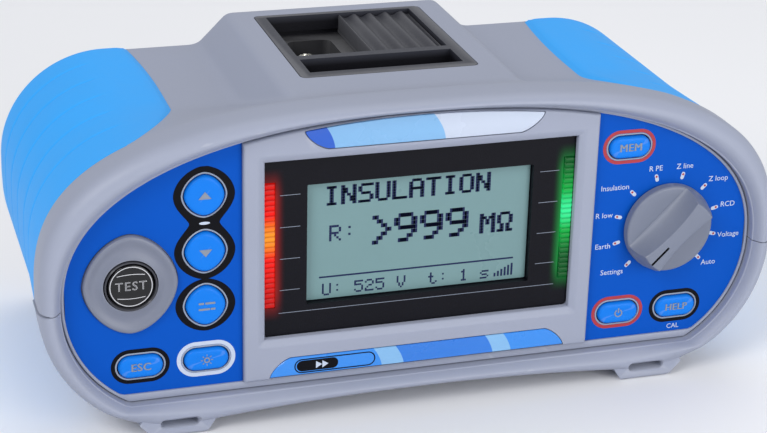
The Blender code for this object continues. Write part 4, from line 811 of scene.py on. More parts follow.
DOOR_LOW, DOOR_HIGH = corners("battery_cover")
DOOR_SIZE = (DOOR_HIGH - DOOR_LOW)[[0, 2]]
DOOR_REBATE = solid_y(rounded(face_middle(DOOR_LOW, DOOR_HIGH), DOOR_SIZE + 2 * GAP, 1.6),
                      BODY_REAR - 3.3, BODY_REAR + 3.0)


def case_upper():
    made = piece("case_upper", [shell_patch(True)], CASE_GREY, replaces=["upper_case"])
    low, high = corners("connector_panel")
    mid = ((low[0] + high[0]) / 2, (low[1] + high[1]) / 2 - FACE_Y)
    size = (high[0] - low[0] + 2 * GAP, high[1] - low[1] + 2 * GAP)
    through = solid_z(rounded(mid, (size[0] - 2.0, size[1] - 2.0), 1.6), PANEL_TOP - 30.0, PANEL_TOP - 1.0)
    rebate = solid_z(rounded(mid, size, 2.2), PANEL_TOP - 1.8, PANEL_TOP + 4.0)
    for tool in (through, rebate, DOOR_REBATE):
        worked(made, [tool])


def foot_block(side, front):
    """Foot with sloped ends standing on the floor, its outline a trapezoid carried along y."""
    rows = []
    for y, lift in ((0.0, 1.5), (0.35, 0.6), (1.2, 0.0), (15.3, 0.0), (16.0, 0.7)):
        section = np.array([(63.9, CASE_BOTTOM + 3.0), (67.6 - lift * 0.7, lift), (83.2 + lift * 0.8, lift),
                            (87.6, 4.9), (86.0, 8.0)])
        rows.append(facing(section * np.array([side, 1]), front + y))
    return capped(np.stack(rows))


STRAP_X, STRAP_Z, STRAP_SLOT = 75.45, 4.4, (11.5, 2.4)


def case_lower():
    """Lower half with its feet, the strap slots through the front feet and the wells of the case screws."""
    made = piece("case_lower", [shell_patch(False)], CASE_GREY, replaces=["lower_case"])
    fronts = (-4.6, BODY_REAR - 18.5)
    worked(made, [foot_block(side, y) for side in (-1, 1) for y in fronts], "UNION")
    slots, rims, channels, wells = [], [], [], []
    for side in (-1, 1):
        centre = (side * STRAP_X, STRAP_Z)
        slots.append(solid_y(oval(centre, STRAP_SLOT), -9.0, 7.0))
        rims.append(capped(np.stack([facing(oval(centre, STRAP_SLOT, 2.2), -7.2),
                                     facing(oval(centre, STRAP_SLOT, -0.2), -4.0)])))
        channel = rounded((side * STRAP_X, 7.0), (STRAP_SLOT[0] + 1.2, 6.0), 0.3, 2)
        channels.append(solid_z(channel, -1.0, STRAP_Z + STRAP_SLOT[1] / 2))
        for y in (24.0, BODY_REAR - 12.5):
            wells.append(solid_z(circle((side * 86.0, y), 3.1, 32), -1.0, 12.0))
    for tools in (slots, rims, channels, wells, [DOOR_REBATE]):
        worked(made, tools)


# ---------------------------------------------------------------- soft blue side covers

GROOVE_FIRST, GROOVE_PITCH, GROOVE_COUNT = 29.5, 15.2, 5
GROOVE_DEPTH, GROOVE_HALF = 0.42, 0.55
GROOVE_TOP_X = 84.5                 # where the grooves fade out on the cover's top
COVER_ROUND = 1.1


def groove_depth(y, x, angle):
    """Shallow grooves in planes of constant y, with a bell section, fading at the top and at the bottom."""
    depth = np.zeros_like(x)
    for k in range(GROOVE_COUNT):
        off = (y - GROOVE_FIRST - k * GROOVE_PITCH) / GROOVE_HALF
        depth += GROOVE_DEPTH * np.exp(-off * off)
    fade_top = np.clip((np.abs(x) - GROOVE_TOP_X) / 3.0, 0, 1)
    fade_low = np.clip((angle - COVER_LOW - 0.07) / 0.06, 0, 1)
    return depth * fade_top * fade_low


def cover_grid(side):
    """Outer face of a cover over (angle, y), rounded down at all four edges, then its flat inner face."""
    y = [COVER_FRONT + GAP + COVER_ROUND * (1 - math.cos(t)) for t in np.linspace(0, np.pi / 2, 7)]
    y += list(np.linspace(y[-1] + 0.8, GROOVE_FIRST - 2.0, 16))
    for k in range(GROOVE_COUNT):
        centre = GROOVE_FIRST + k * GROOVE_PITCH
        y += list(centre + GROOVE_HALF * np.linspace(-2.0, 2.0, 9))
        count = 6 if k < GROOVE_COUNT - 1 else 4
        y += list(np.linspace(centre + 2.6, centre + GROOVE_PITCH - 2.6, 6))[:count]
    y = [v for v in y if v < COVER_REAR - COVER_ROUND - 0.2]
    y += [COVER_REAR - COVER_ROUND * (1 - math.cos(t)) for t in np.linspace(np.pi / 2, 0, 7)]
    y = np.array(y)
    edge = cover_edge_angle(y)
    s = np.linspace(0, 1, 110)[1:-1]
    edge_round = COVER_ROUND / MEAN_RADIUS
    ease = edge_round * (1 - np.cos(np.linspace(0, np.pi / 2, 7)))
    faces, backs = [], []
    for station, top in zip(y, edge):
        flat_part = COVER_LOW + edge_round + s * (top - COVER_LOW - 2 * edge_round)
        span = np.concatenate([COVER_LOW + ease, flat_part, top - ease[::-1]])
        along = min(station - COVER_FRONT - GAP, COVER_REAR - station)
        across = np.minimum(span - COVER_LOW, top - span) * MEAN_RADIUS
        inward = np.maximum(COVER_ROUND - np.minimum(across, COVER_ROUND), 0) / COVER_ROUND
        forward = max(COVER_ROUND - along, 0) / COVER_ROUND
        drop = COVER_ROUND * (1 - np.sqrt(np.maximum(1 - np.minimum(inward ** 2 + forward ** 2, 1), 0)))
        outer = cover_face(span, station)
        x = outer * np.cos(span)
        faces.append(polar(outer - drop - groove_depth(station, x, span), span, station))
        backs.append(polar(pocket_face(span, station) + GAP, span, station)[::-1])
    grid = np.concatenate([np.stack(faces), np.stack(backs)], axis=1)
    return grid * np.array([side, 1, 1])


def side_covers():
    for side, name in ((-1, "left"), (1, "right")):
        piece(f"{name}_cover_skin", [capped(cover_grid(side))], COVER_BLUE,
              replaces=[f"{name}_side_cover"], sharp_deg=50.0)


# ---------------------------------------------------------------- front panel, frame and foils

KEYS = {
    "up_key": "diamond", "down_key": "diamond", "tab_key": "diamond", "backlight_key": "oval",
    "escape_key": "oval", "memory_key": "oval", "power_key": "oval", "help_key": "oval",
}
DIAMOND_KEY, OVAL_KEY = (11.9, 12.5), (13.4, 7.0)
DIAMOND_EXPONENT = 1.75
WINDOW_LOW, WINDOW_HIGH = corners("display_mask")[0][2] + 3.3, corners("display_mask")[1][2] - 3.3
WINDOW_HALF = corners("display_mask")[1][0] - 3.3
TEST = middle("test_key")[[0, 2]]
KNOB = middle("selector_shaft")[[0, 2]]
FLANGE_Y = 3.8


FIELD_HALF_X, FIELD_HALF_Z, FIELD_WAIST = 9.1, 8.9, 4.5
LOBE_EXPONENT = 1.8


def key_place(name):
    return middle(name)[[0, 2]]


def key_outline(name, grow=0.0, count=72):
    if KEYS[name] == "diamond":
        size = (DIAMOND_KEY[0] + 2 * grow, DIAMOND_KEY[1] + 2 * grow)
        return superellipse(key_place(name), size, DIAMOND_EXPONENT, count)
    return oval(key_place(name), OVAL_KEY, grow)


def panel_base():
    """Panel behind the foils with the rim that stands round them: rows of constant profile, turned round
    the outline by angle."""
    angle = np.arange(720) * np.pi / 360
    rim, foil = rim_radius(angle), foil_radius(angle)
    flange = np.maximum(cavity_face(angle, 3.5), opening_radius(angle) + 1.2) - GAP
    rows = [(flange, 3.5), (flange, 0.8), (rim, 0.8), (rim, 0.35 - RIM_PROUD)]
    for t in np.linspace(0, np.pi / 2, 5)[1:]:
        rows.append((rim - 0.35 * (1 - math.cos(t)), 0.35 - RIM_PROUD - 0.35 * math.sin(t)))
    for t in np.linspace(0, np.pi / 2, 5):
        rows.append((foil + 0.30 * (1 - math.sin(t)), -RIM_PROUD + 0.3 * (1 - math.cos(t))))
    rows.append((foil, 0.8))
    made = piece("panel_base", [capped(np.stack([polar(r, angle, y) for r, y in rows]))], CASE_GREY)
    window = ((WINDOW_LOW + WINDOW_HIGH) / 2, WINDOW_HIGH - WINDOW_LOW)
    openings = [key_outline(name, KEY_PLAY) for name in KEYS]
    openings += [circle(TEST, SURROUND_HOLE), circle(KNOB, SHAFT_HOLE),
                 rounded((0, window[0]), (2 * WINDOW_HALF, window[1]), 0.8)]
    worked(made, [solid_y(opening, -3.0, 8.0) for opening in openings])


def curve_heights(half):
    widest = int(np.argmax(half[:, 0]))
    low, high = half[:widest + 1], half[widest:][::-1]
    return (lambda x: np.interp(np.abs(x), low[:, 0], low[:, 1]),
            lambda x: np.interp(np.abs(x), high[:, 0], high[:, 1]))


foil_low, foil_high = curve_heights(panel_half(0.0, FOIL_LOW))
BEVEL = 2.3                          # width of the slope round the window
BEVEL_DROP = 1.0


def display_frame():
    """Raised frame round the window: four mitred sides between the window's rectangle and the panel's
    outline, with a slope down into the window and rounded outer edges."""
    share = np.linspace(-1, 1, 61)[:-1]
    still = np.ones(len(share))
    mid_z = (WINDOW_LOW + WINDOW_HIGH) / 2
    half_z = (WINDOW_HIGH - WINDOW_LOW) / 2

    def window_loop(grow):
        x, z = WINDOW_HALF + grow, half_z + grow
        return np.concatenate([
            np.column_stack([share * x, still * (mid_z + z)]),
            np.column_stack([still * x, mid_z - share * z]),
            np.column_stack([-share * x, still * (mid_z - z)]),
            np.column_stack([-still * x, mid_z + share * z])])

    def outer_loop(shrink):
        x = FRAME_HALF - shrink
        high, low = foil_high(x) - shrink, foil_low(0.0) + shrink
        across, rise = share * x, (1 + share) / 2
        return np.concatenate([
            np.column_stack([across, foil_high(across) - shrink]),
            np.column_stack([still * x, high + (low - high) * rise]), np.column_stack([-across, still * low]),
            np.column_stack([-still * x, low + (high - low) * rise])])

    rows = [(window_loop(0.0), 3.4), (window_loop(0.0), 0.25 + BEVEL_DROP - FRAME_PROUD)]
    rows += [(window_loop(0.12), BEVEL_DROP - FRAME_PROUD)]
    for t in np.linspace(0.15, 1, 6):
        rows.append((window_loop(0.12 + (BEVEL - 0.12) * t),
                     -FRAME_PROUD + BEVEL_DROP * (1 - t) ** 1.25))
    rows.append((window_loop(BEVEL + 0.25), -FRAME_PROUD))
    inner_edge, edge_round = window_loop(BEVEL + 0.25), 0.9
    for t in (0.35, 0.7):
        rows.append((inner_edge + t * (outer_loop(edge_round) - inner_edge), -FRAME_PROUD))
    for t in np.linspace(0, np.pi / 2, 6):
        rows.append((outer_loop(0.02 + edge_round * (1 - math.sin(t))),
                     -FRAME_PROUD + edge_round * (1 - math.cos(t))))
    rows.append((outer_loop(0.02), 0.78))
    rows.append((outer_loop(2.0), 3.4))
    made = piece("display_frame", [ring_patch(np.stack([facing(loop, y) for loop, y in rows]))], CASE_GREY,
                 replaces=["front_panel"])
    depth = -FRAME_PROUD + 0.8
    worked(made, [solid_y(badge_shape(kind, GAP), -4.0, depth) for kind in ("top", "bottom")])


STRIP_END = 1.45
TOP_STRIP_HALF, TOP_STRIP_CREST, TOP_STRIP_FALL = 36.6, 95.2, 2.2


def badge_shape(kind, grow=0.0):
    """Outline of a strip whose ends are quarter superellipses of exponent 1.45. The top edge of the upper
    one follows the frame's arch."""
    t = np.linspace(0, np.pi / 2, 14)
    end_x, end_z = np.cos(t) ** (2 / STRIP_END), np.sin(t) ** (2 / STRIP_END)
    if kind == "top":
        x = np.linspace(-TOP_STRIP_HALF, TOP_STRIP_HALF, 41)
        edge = np.column_stack([x, TOP_STRIP_CREST - TOP_STRIP_FALL * (x / TOP_STRIP_HALF) ** 2])
        right = np.column_stack([29.4 + 7.4 * end_x, 92.8 - 5.6 * end_z])
    else:
        edge = np.zeros((0, 2))
        right = np.column_stack([40.6 + 6.6 * end_x, 14.6 + 5.9 * end_z])
    left = (right * np.array([-1, 1]))[::-1]
    outline = np.concatenate([edge, right, left])
    centre = (outline.max(0) + outline.min(0)) / 2
    half = (outline.max(0) - outline.min(0)) / 2
    return centre + (outline - centre) * (1 + grow / half)


DEEP_BLUE, MID_BLUE, STRIP_BLUE = (0.003, 0.085, 0.50), (0.02, 0.22, 0.70), (0.012, 0.16, 0.60)
PALE_BLUE, STRIP_WHITE = (0.19, 0.41, 0.68), (0.50, 0.56, 0.68)
CAPSULE, CAPSULE_SIZE = (-27.0, 17.4), (25.5, 4.7)


def badges():
    """Printed strips; the lower one has a capsule outline with a black field and two arrow heads."""
    face = -FRAME_PROUD - 0.05
    top = badge_print("top_strip_print", [(-50, DEEP_BLUE), (-29.0, PALE_BLUE), (4.8, STRIP_WHITE)], 91.0)
    low = badge_print("bottom_strip_print",
                      [(-60, MID_BLUE), (-13.0, PALE_BLUE), (-6.0, STRIP_BLUE), (23.0, PALE_BLUE),
                       (29.0, MID_BLUE)], 17.5)
    for kind, print_finish in (("top", top), ("bottom", low)):
        outline = badge_shape(kind)
        shrunk = (outline - outline.mean(0)) * np.array([0.996, 0.96]) + outline.mean(0)
        grid = np.stack([facing(shrunk, face), facing(outline, face + 0.12), facing(outline, face + 0.8)])
        piece(f"{kind}_strip", [capped(grid)], print_finish, replaces=[f"{kind}_badge"])
    loops = [oval(CAPSULE, CAPSULE_SIZE), oval(CAPSULE, CAPSULE_SIZE, -0.35)]
    piece("strip_capsule_line", [plate(loops, face - 0.05, face + 0.05)], PRINT_BLACK)
    field = oval((-32.5, CAPSULE[1]), (13.0, 3.6))
    piece("strip_capsule_field", [plate([field], face - 0.04, face + 0.05)], PRINT_BLACK)
    arrows = [plate([np.array([(left, 18.6), (left + 1.9, CAPSULE[1]), (left, 16.2)])], face - 0.08, face)
              for left in (-33.0, -31.0)]
    piece("strip_arrows", arrows, PRINT_WHITE)


def foil(side, name):
    """Foil beside the display frame: the panel's outline cut off at the frame, with holes for the keys."""
    x = FRAME_HALF + GAP + (FOIL_HALF - GAP - FRAME_HALF - GAP) * np.sin(np.linspace(0, np.pi / 2, 120))
    low, high = curve_heights(panel_half(-0.02, FOIL_LOW + 0.02))
    x = np.concatenate([[FRAME_HALF + 0.03], x])
    outline = np.concatenate([np.column_stack([x, low(x)]), np.column_stack([x, high(x)])[::-1][1:]])
    outline = outline * np.array([side, 1])
    holes = [key_outline(key, KEY_PLAY) for key in KEYS if key_place(key)[0] * side > 0]
    holes.append(circle(KNOB, SHAFT_HOLE) if side > 0
                 else superellipse(TEST, (28.4, 31.5), DIAMOND_EXPONENT, 120))
    piece(f"{name}_foil_print", [plate([outline] + holes, 0.0, 0.5)], FOIL_BLUE,
          replaces=[f"{name}_keypad_foil"])


PRINT = (-0.06, 0.02)                # raised print on the foils


def key_surrounds():
    """Printed fields round the keys: a black figure of eight, black, white and red rings."""
    t = np.linspace(0, np.pi, 90)
    up, down = key_place("up_key"), key_place("down_key")
    z_top, z_low = up[1] + FIELD_HALF_Z, down[1] - FIELD_HALF_Z
    z = z_low + (z_top - z_low) * (1 - np.cos(t)) / 2
    lobes = []
    for centre in (up[1], down[1]):
        v = np.clip(np.abs(z - centre) / FIELD_HALF_Z, 0, 1)
        lobes.append(FIELD_HALF_X * (1 - v ** LOBE_EXPONENT) ** (1 / LOBE_EXPONENT))
    neck = np.where((z > down[1]) & (z < up[1]), FIELD_WAIST, 0.0)
    half = soft_max(soft_max(lobes[0], lobes[1], 1.0), neck, 3.2)
    half[0] = half[-1] = 0.02
    eight = np.concatenate([np.column_stack([up[0] + half, z]), np.column_stack([up[0] - half, z])[::-1]])
    black = [plate([eight, key_outline("up_key", 0.55), key_outline("down_key", 0.55)], *PRINT),
             plate([superellipse(key_place("tab_key"), (18.0, 16.9), 1.85, 90),
                    key_outline("tab_key", 0.55)], *PRINT)]
    black += [plate([key_outline(name, 2.1), key_outline(name, 0.55)], *PRINT)
              for name in ("escape_key", "help_key")]
    piece("black_key_fields", black, PRINT_BLACK)
    red = [plate([key_outline(name, 2.0), key_outline(name, 0.95)], *PRINT)
           for name in ("memory_key", "power_key")]
    piece("red_key_rings", red, PRINT_RED)
    pale = [plate([key_outline("backlight_key", 2.2), key_outline("backlight_key", 0.95)], *PRINT)]
    pale.append(plate([superellipse((up[0], (up[1] + down[1]) / 2), (3.2, 0.9), 2.0, 32)], -0.12, 0.0))
    piece("pale_key_ring", pale, PRINT_WHITE)
    rim = ((0.36, 0.3), (0.36, -0.12), (0.50, -0.24), (0.72, -0.24), (0.86, -0.12), (0.86, 0.0))
    for name in KEYS:
        grid = np.stack([facing(key_outline(name, grow), y) for grow, y in rim])
        piece(f"{name}_gasket", [ring_patch(grid)], GASKET_GREY)


def key_cap(name):
    """Silicone cap: flat dished face, rounded shoulder, flange behind the panel and stem to its switch."""
    profile = [(-1.30, -1.9), (-1.30, -1.15), (-1.22, -0.75), (-1.05, -0.42), (-0.80, -0.2),
               (-0.45, -0.06), (0.0, 0.0), (FLANGE_Y, 0.0), (FLANGE_Y, 1.0), (FLANGE_Y + 1.0, 1.0),
               (FLANGE_Y + 1.0, -1.6), (9.7, -1.6)]
    rows = [facing(key_outline(name, grow), y) for y, grow in profile]
    centre = key_place(name)
    dish = [facing(centre + (key_outline(name, -1.9) - centre) * share, -1.30 + 0.10 * (1 - share ** 2))
            for share in (0.02, 0.4, 0.75)]
    piece(f"{name}_cap", [capped(np.stack(dish + rows))], KEY_BLUE, body=f"{name}_body",
          replaces=[name])


LEGEND_FACE = -1.29
LEGEND = (LEGEND_FACE - 0.06, LEGEND_FACE + 0.08)


def legend(name, patches):
    piece(f"{name}_legend", patches, LEGEND_GREY, body=f"{name}_body")


def key_legends():
    """Arrows, four dashes, a sun, a standby sign and three words. A word is three copies a little apart,
    of unequal thickness, so that it reads bold."""
    for name, way in (("up_key", 1), ("down_key", -1)):
        arrow = np.array([(-1.9, -0.9 * way), (1.9, -0.9 * way), (0.0, 1.4 * way)]) + key_place(name)
        legend(name, [plate([arrow], *LEGEND)])
    dashes = ((-1.5, 0.95, 1.6), (1.2, 0.95, 3.0), (-0.6, -0.95, 3.4), (2.0, -0.95, 1.4))
    legend("tab_key", [thin_bar(key_place("tab_key") + np.array([dx, dz]), (wide, 0.62), 0.15, *LEGEND, 3)
                       for dx, dz, wide in dashes])
    centre = key_place("backlight_key")
    sun = [plate([circle(centre, 0.95, 28), circle(centre, 0.55, 28)], *LEGEND)]
    ray = np.array([(1.25, -0.13), (1.85, -0.13), (1.85, 0.13), (1.25, 0.13)])
    sun += [plate([turned(ray, k * math.pi / 4) + centre], *LEGEND) for k in range(8)]
    legend("backlight_key", sun)
    centre = key_place("power_key")
    opening = np.radians(np.linspace(118, 422, 40))
    around = np.column_stack([np.cos(opening), np.sin(opening)])
    legend("power_key", [plate([np.concatenate([1.35 * around, 0.95 * around[::-1]]) + centre], *LEGEND),
                         thin_bar(centre + np.array([0.0, 0.95]), (0.42, 1.7), 0.15, *LEGEND, 3)])
    for name, word, size in (("escape_key", "ESC", 3.5), ("memory_key", "MEM", 3.5),
                             ("help_key", "HELP", 3.2)):
        x, z = key_place(name)
        legend(name, [lettering(word, size, (x + shift, LEGEND_FACE, z), thick, spacing=1.08)
                      for shift, thick in ((-0.1, 0.14), (0.0, 0.20), (0.1, 0.17))])


# ---------------------------------------------------------------- TEST key

BUTTON_TOP = -1.93


def test_key():
    """Dished surround, black tube and glossy button with a bright ring, an outlined word and two lines."""
    size = np.array([27.8, 30.9])
    steps = [(0.0, 0.5), (0.0, -1.1), (-0.25, -1.42), (-0.7, -1.6)]
    rows = [facing(superellipse(TEST, size + 2 * grow, DIAMOND_EXPONENT, 120), y) for grow, y in steps]
    blend_from = superellipse(TEST, size - 2.0, DIAMOND_EXPONENT, 120)
    hollow = circle(TEST, SURROUND_HOLE, 120)
    for t in np.linspace(0.06, 1, 14):
        dish = -1.6 + 0.75 * math.sin(math.pi * min(t * 1.02, 1.0)) ** 1.4 * (1 - 0.25 * t)
        rows.append(facing(blend_from + t * (hollow - blend_from), dish))
    rows.append(facing(hollow, 0.5))
    piece("test_surround_dish", [ring_patch(np.stack(rows))], SURROUND_GREY,
          replaces=["test_key_surround"])

    rear = corners("test_key_bezel")[1][1] - FACE_Y
    tube = [(7.22, rear), (7.22, -1.9), (7.30, -2.15), (7.45, -2.28), (7.62, -2.28), (7.76, -2.15),
            (7.80, -1.9), (7.80, rear - 1.0), (9.4, rear - 1.0), (9.4, rear)]
    piece("test_bezel_tube", [ring_patch(turned_rows(TEST, tube, 96))], BLACK_MOULDING,
          replaces=["test_key_bezel"])

    rear = corners("test_key")[1][1] - FACE_Y
    button = [(0.05, -1.86), (3.0, -1.87), (5.2, -1.90), (5.9, -1.95), (6.3, -1.95), (6.6, -1.85),
              (6.82, -1.62), (6.9, -1.3), (6.9, 5.1), (8.0, 5.1), (8.0, 6.0), (2.5, 6.0), (2.5, rear)]
    piece("test_button", [capped(turned_rows(TEST, button, 96))], GLOSS_BLACK,
          body="test_key_body", replaces=["test_key"])
    ring = [(5.95, -1.80), (6.05, -2.0), (6.3, -2.0), (6.38, -1.80)]
    marks = [ring_patch(turned_rows(TEST, ring, 96))]
    along = np.linspace(-1, 1, 21)
    for side in (-1, 1):
        x, z = TEST[0] + 4.1 * along, TEST[1] + side * 3.5 + 0.35 * (1 - along ** 2) * side
        line = np.concatenate([np.column_stack([x, z + 0.1]), np.column_stack([x, z - 0.1])[::-1]])
        marks.append(plate([line], -2.0, -1.8))
    marks.append(lettering("TEST", 3.9, (TEST[0], BUTTON_TOP, TEST[1]), 0.12, spacing=1.16))
    piece("test_button_marks", marks, CHROME, body="test_key_body")
    core = lettering("TEST", 3.9, (TEST[0], BUTTON_TOP - 0.03, TEST[1]), 0.12, spacing=1.16, offset=-0.10)
    piece("test_word_core", [core], GLOSS_BLACK, body="test_key_body")


# ---------------------------------------------------------------- function selector

KNOB_RADIUS = 14.3
DISC_FACE, GRIP_FACE = -3.5, -10.2
GRIP_FOOT = 6.5                      # half thickness of the grip where it meets the disc
POINTER_REST = math.radians(225.0)


def along_pointer(outline):
    """Turns an outline drawn along +x onto the pointer's direction and centres it on the knob."""
    return turned(outline, POINTER_REST) + KNOB


def grip_loop(share, shrink):
    """Outline of the grip at a share of its height. Its half thickness is 6.5 at the foot and
    2.6 + 1.2 u^2 at the face, with u from -1 to 1 along it, blended by the share to the power 0.72;
    its ends are arcs about the knob's axis, leaning in from the rim."""
    u = np.linspace(-1, 1, 61)
    face = 2.6 + 1.2 * u ** 2
    half = GRIP_FOOT + (face - GRIP_FOOT) * share ** 0.72 - shrink
    radius = KNOB_RADIUS - 0.25 - 1.9 * share ** 1.3 - shrink
    reach = math.sqrt(radius ** 2 - half[-1] ** 2)
    turn = math.atan2(half[-1], reach) * np.linspace(1, -1, 17)[1:-1]
    side = np.column_stack([u * reach, half])
    end = np.column_stack([radius * np.cos(turn), radius * np.sin(turn)])
    return along_pointer(np.concatenate([side, end, -side, -end]))


def selector_knob():
    """Disc with a rounded rim and a waisted grip that stands across it."""
    radius = KNOB_RADIUS
    disc = [(0.05, -0.3), (radius - 0.2, -0.3), (radius, -0.5), (radius, -2.5), (radius - 0.06, -2.9),
            (radius - 0.25, -3.22), (radius - 0.6, -3.42), (radius - 1.0, DISC_FACE),
            (11.0, DISC_FACE + 0.12), (0.05, DISC_FACE + 0.25)]
    levels = np.concatenate([[-0.1], np.linspace(0, 1, 26)])
    edge = 0.4
    rise = DISC_FACE - GRIP_FACE
    rows = [facing(grip_loop(max(v, 0.0), 0.0), DISC_FACE - (rise - edge) * v) for v in levels]
    for t in np.linspace(0, np.pi / 2, 6)[1:]:
        rows.append(facing(grip_loop(1.0, edge * (1 - math.cos(t))), GRIP_FACE + edge * (1 - math.sin(t))))
    piece("knob", [capped(turned_rows(KNOB, disc, 128)), capped(np.stack(rows))], KNOB_GREY,
          body="selector", replaces=["selector_knob"], sharp_deg=42.0)
    line = along_pointer(rounded((8.2, 0.0), (7.6, 0.72), 0.3, 5))
    piece("knob_pointer", [plate([line], GRIP_FACE, GRIP_FACE + 0.3)], PRINT_BLACK,
          body="selector")


SCALE_RADIUS = 16.9
POSITION_STEP = math.radians(30.0)
POSITIONS = ("Settings", "Earth", "R low", "Insulation", "R PE", "Z line", "Z loop", "RCD", "Voltage", "Auto")


def selector_scale():
    """Ten marks every 30 degrees round the knob, each a white capsule with a red dot, and their words."""
    white, red = [], []
    for k, word in enumerate(POSITIONS):
        a = POINTER_REST - POSITION_STEP * k
        way = np.array([math.cos(a), math.sin(a)])
        capsule = turned(oval((SCALE_RADIUS, 0.0), (2.5, 1.15), 0.0, 8), a) + KNOB
        white.append(plate([capsule], *PRINT))
        dot = circle(KNOB + (SCALE_RADIUS + 0.45) * way, 0.36, 20)
        red.append(plate([dot], PRINT[0] - 0.05, PRINT[1]))
        x, z = KNOB + (SCALE_RADIUS + 2.0) * way
        beside = abs(way[0]) > 0.3
        align = ("LEFT" if way[0] > 0 else "RIGHT") if beside else "CENTER"
        z += 1.3 * way[1] if beside else 1.2
        white.append(lettering(word, 2.45, (x, (PRINT[0] + PRINT[1]) / 2, z), 0.08, align))
    x, z = key_place("help_key")
    white.append(lettering("CAL", 2.3, (x, -0.02, z - 7.3), 0.08))
    piece("scale_white_print", white, PRINT_WHITE)
    piece("scale_red_dots", red, PRINT_RED)


# ---------------------------------------------------------------- display

BAR_RIBS = 24
TICK_X, TICK_FIRST, TICK_PITCH = 40.6, 42.0, 10.2


def light_bar(name, finish):
    """Ribbed light guide: rounded ribs along z with grooves between them."""
    low, high = corners(f"{name}_light_bar")
    z = np.linspace(low[2], high[2], BAR_RIBS * 8 + 1)
    phase = (z - low[2]) / (high[2] - low[2]) * BAR_RIBS * np.pi
    proud = 0.35 * np.abs(np.sin(phase)) ** 0.5
    front, rear = low[1] - FACE_Y, high[1] - FACE_Y
    edge = 0.25
    section = [(low[0], rear), (low[0], front + 0.5), (low[0] + edge, front + 0.25),
               (high[0] - edge, front + 0.25), (high[0], front + 0.5), (high[0], rear)]
    grid = np.zeros((len(z), len(section), 3))
    for k, (x, y) in enumerate(section):
        lift = proud if y < rear - 1 else np.zeros(len(z))
        grid[:, k] = np.column_stack([np.full(len(z), x), y - lift, z])
    piece(f"{name}_bar_lens", [capped(grid)], finish, replaces=[f"{name}_light_bar"])


def display():
    """Light bars, tick lines beside them on the window moulding, and the reading."""
    low, high = corners("red_light_bar")
    glow_z = (low[2] + high[2]) / 2 + 2.8
    pitch = (high[2] - low[2]) / BAR_RIBS
    light_bar("red", glowing_bar("red_light", (0.50, 0.003, 0.002), (0.95, 0.008, 0.003), (1.0, 0.36, 0.02),
                                 glow_z, 22.0, pitch))
    light_bar("green", glowing_bar("green_light", (0.001, 0.035, 0.008), (0.003, 0.46, 0.06),
                                   (0.04, 0.90, 0.34), glow_z, 17.0, pitch))
    face = corners("display_mask")[0][1] - FACE_Y
    lcd = corners("lcd_module")
    lcd_low, lcd_high = lcd[0][2] + 3.2, lcd[1][2] - 3.2
    rules = [((side * TICK_X, TICK_FIRST + TICK_PITCH * k), 6.2) for side in (-1, 1) for k in range(4)]
    rules.append(((0.0, lcd_low - 2.0), 88.0))
    ticks = [thin_bar(centre, (wide, 0.16), 0.05, face - 0.04, face + 0.02) for centre, wide in rules]
    piece("mask_tick_lines", ticks, LEGEND_GREY)
    screen(lcd[0][1] - FACE_Y, lcd_low, lcd_high)


DOT_LETTERS = {
    "I": "01110 00100 00100 00100 00100 00100 01110", "N": "10001 11001 11001 10101 10011 10011 10001",
    "S": "01111 10000 10000 01110 00001 00001 11110", "U": "10001 10001 10001 10001 10001 10001 01110",
    "L": "10000 10000 10000 10000 10000 10000 11111", "A": "01110 10001 10001 11111 10001 10001 10001",
    "T": "11111 00100 00100 00100 00100 00100 00100", "O": "01110 10001 10001 10001 10001 10001 01110",
    "M": "10001 11011 10101 10101 10001 10001 10001", "W": "01110 10001 10001 10001 01010 01010 11011",
    "V": "10001 10001 10001 10001 01010 01010 00100", "R": "11110 10001 10001 11110 10100 10010 10001",
    "0": "01110 10001 10011 10101 11001 10001 01110", "1": "00100 01100 00100 00100 00100 00100 01110",
    "2": "01110 10001 00001 00110 01000 10000 11111", "5": "11111 10000 11110 00001 00001 10001 01110",
    "9": "01110 10001 10001 01111 00001 00010 01100", ":": "00000 00100 00000 00000 00100 00000 00000",
    "t": "01000 01000 11100 01000 01000 01001 00110", "s": "00000 00000 01111 10000 01110 00001 11110",
    ">": "01000 00100 00010 00001 00010 00100 01000", " ": "00000 00000 00000 00000 00000 00000 00000",
}


def dot_words(text, left, top, pitch, y, bold=0):
    """Words in a 5 by 7 dot matrix as small square blocks; `bold` repeats each dot to its right."""
    cells = []
    for k, letter in enumerate(text):
        for row, line in enumerate(DOT_LETTERS[letter].split()):
            cells += [(6 * k + column + shift, -row) for column, dot in enumerate(line) if dot == "1"
                      for shift in np.arange(0, bold + 0.1, 0.5)]
    cells = np.array(sorted(set(cells)), float) * pitch + np.array([left, top])
    block = np.array([(x, d, z) for d in (-0.04, 0.04) for x, z in ((0, 0), (1, 0), (1, -1), (0, -1))], float)
    block = block * np.array([pitch * 0.93, 1.0, pitch * 0.93])
    points = block[None] + np.column_stack([cells[:, 0], np.full(len(cells), y), cells[:, 1]])[:, None]
    sides = [(0, 1, 2, 3), (4, 5, 6, 7), (0, 1, 5, 4), (1, 2, 6, 5), (2, 3, 7, 6), (3, 0, 4, 7)]
    faces = (np.arange(len(cells))[:, None, None] * 8 + np.array(sides)[None]).reshape(-1, 4)
    return points.reshape(-1, 3), faces.tolist()


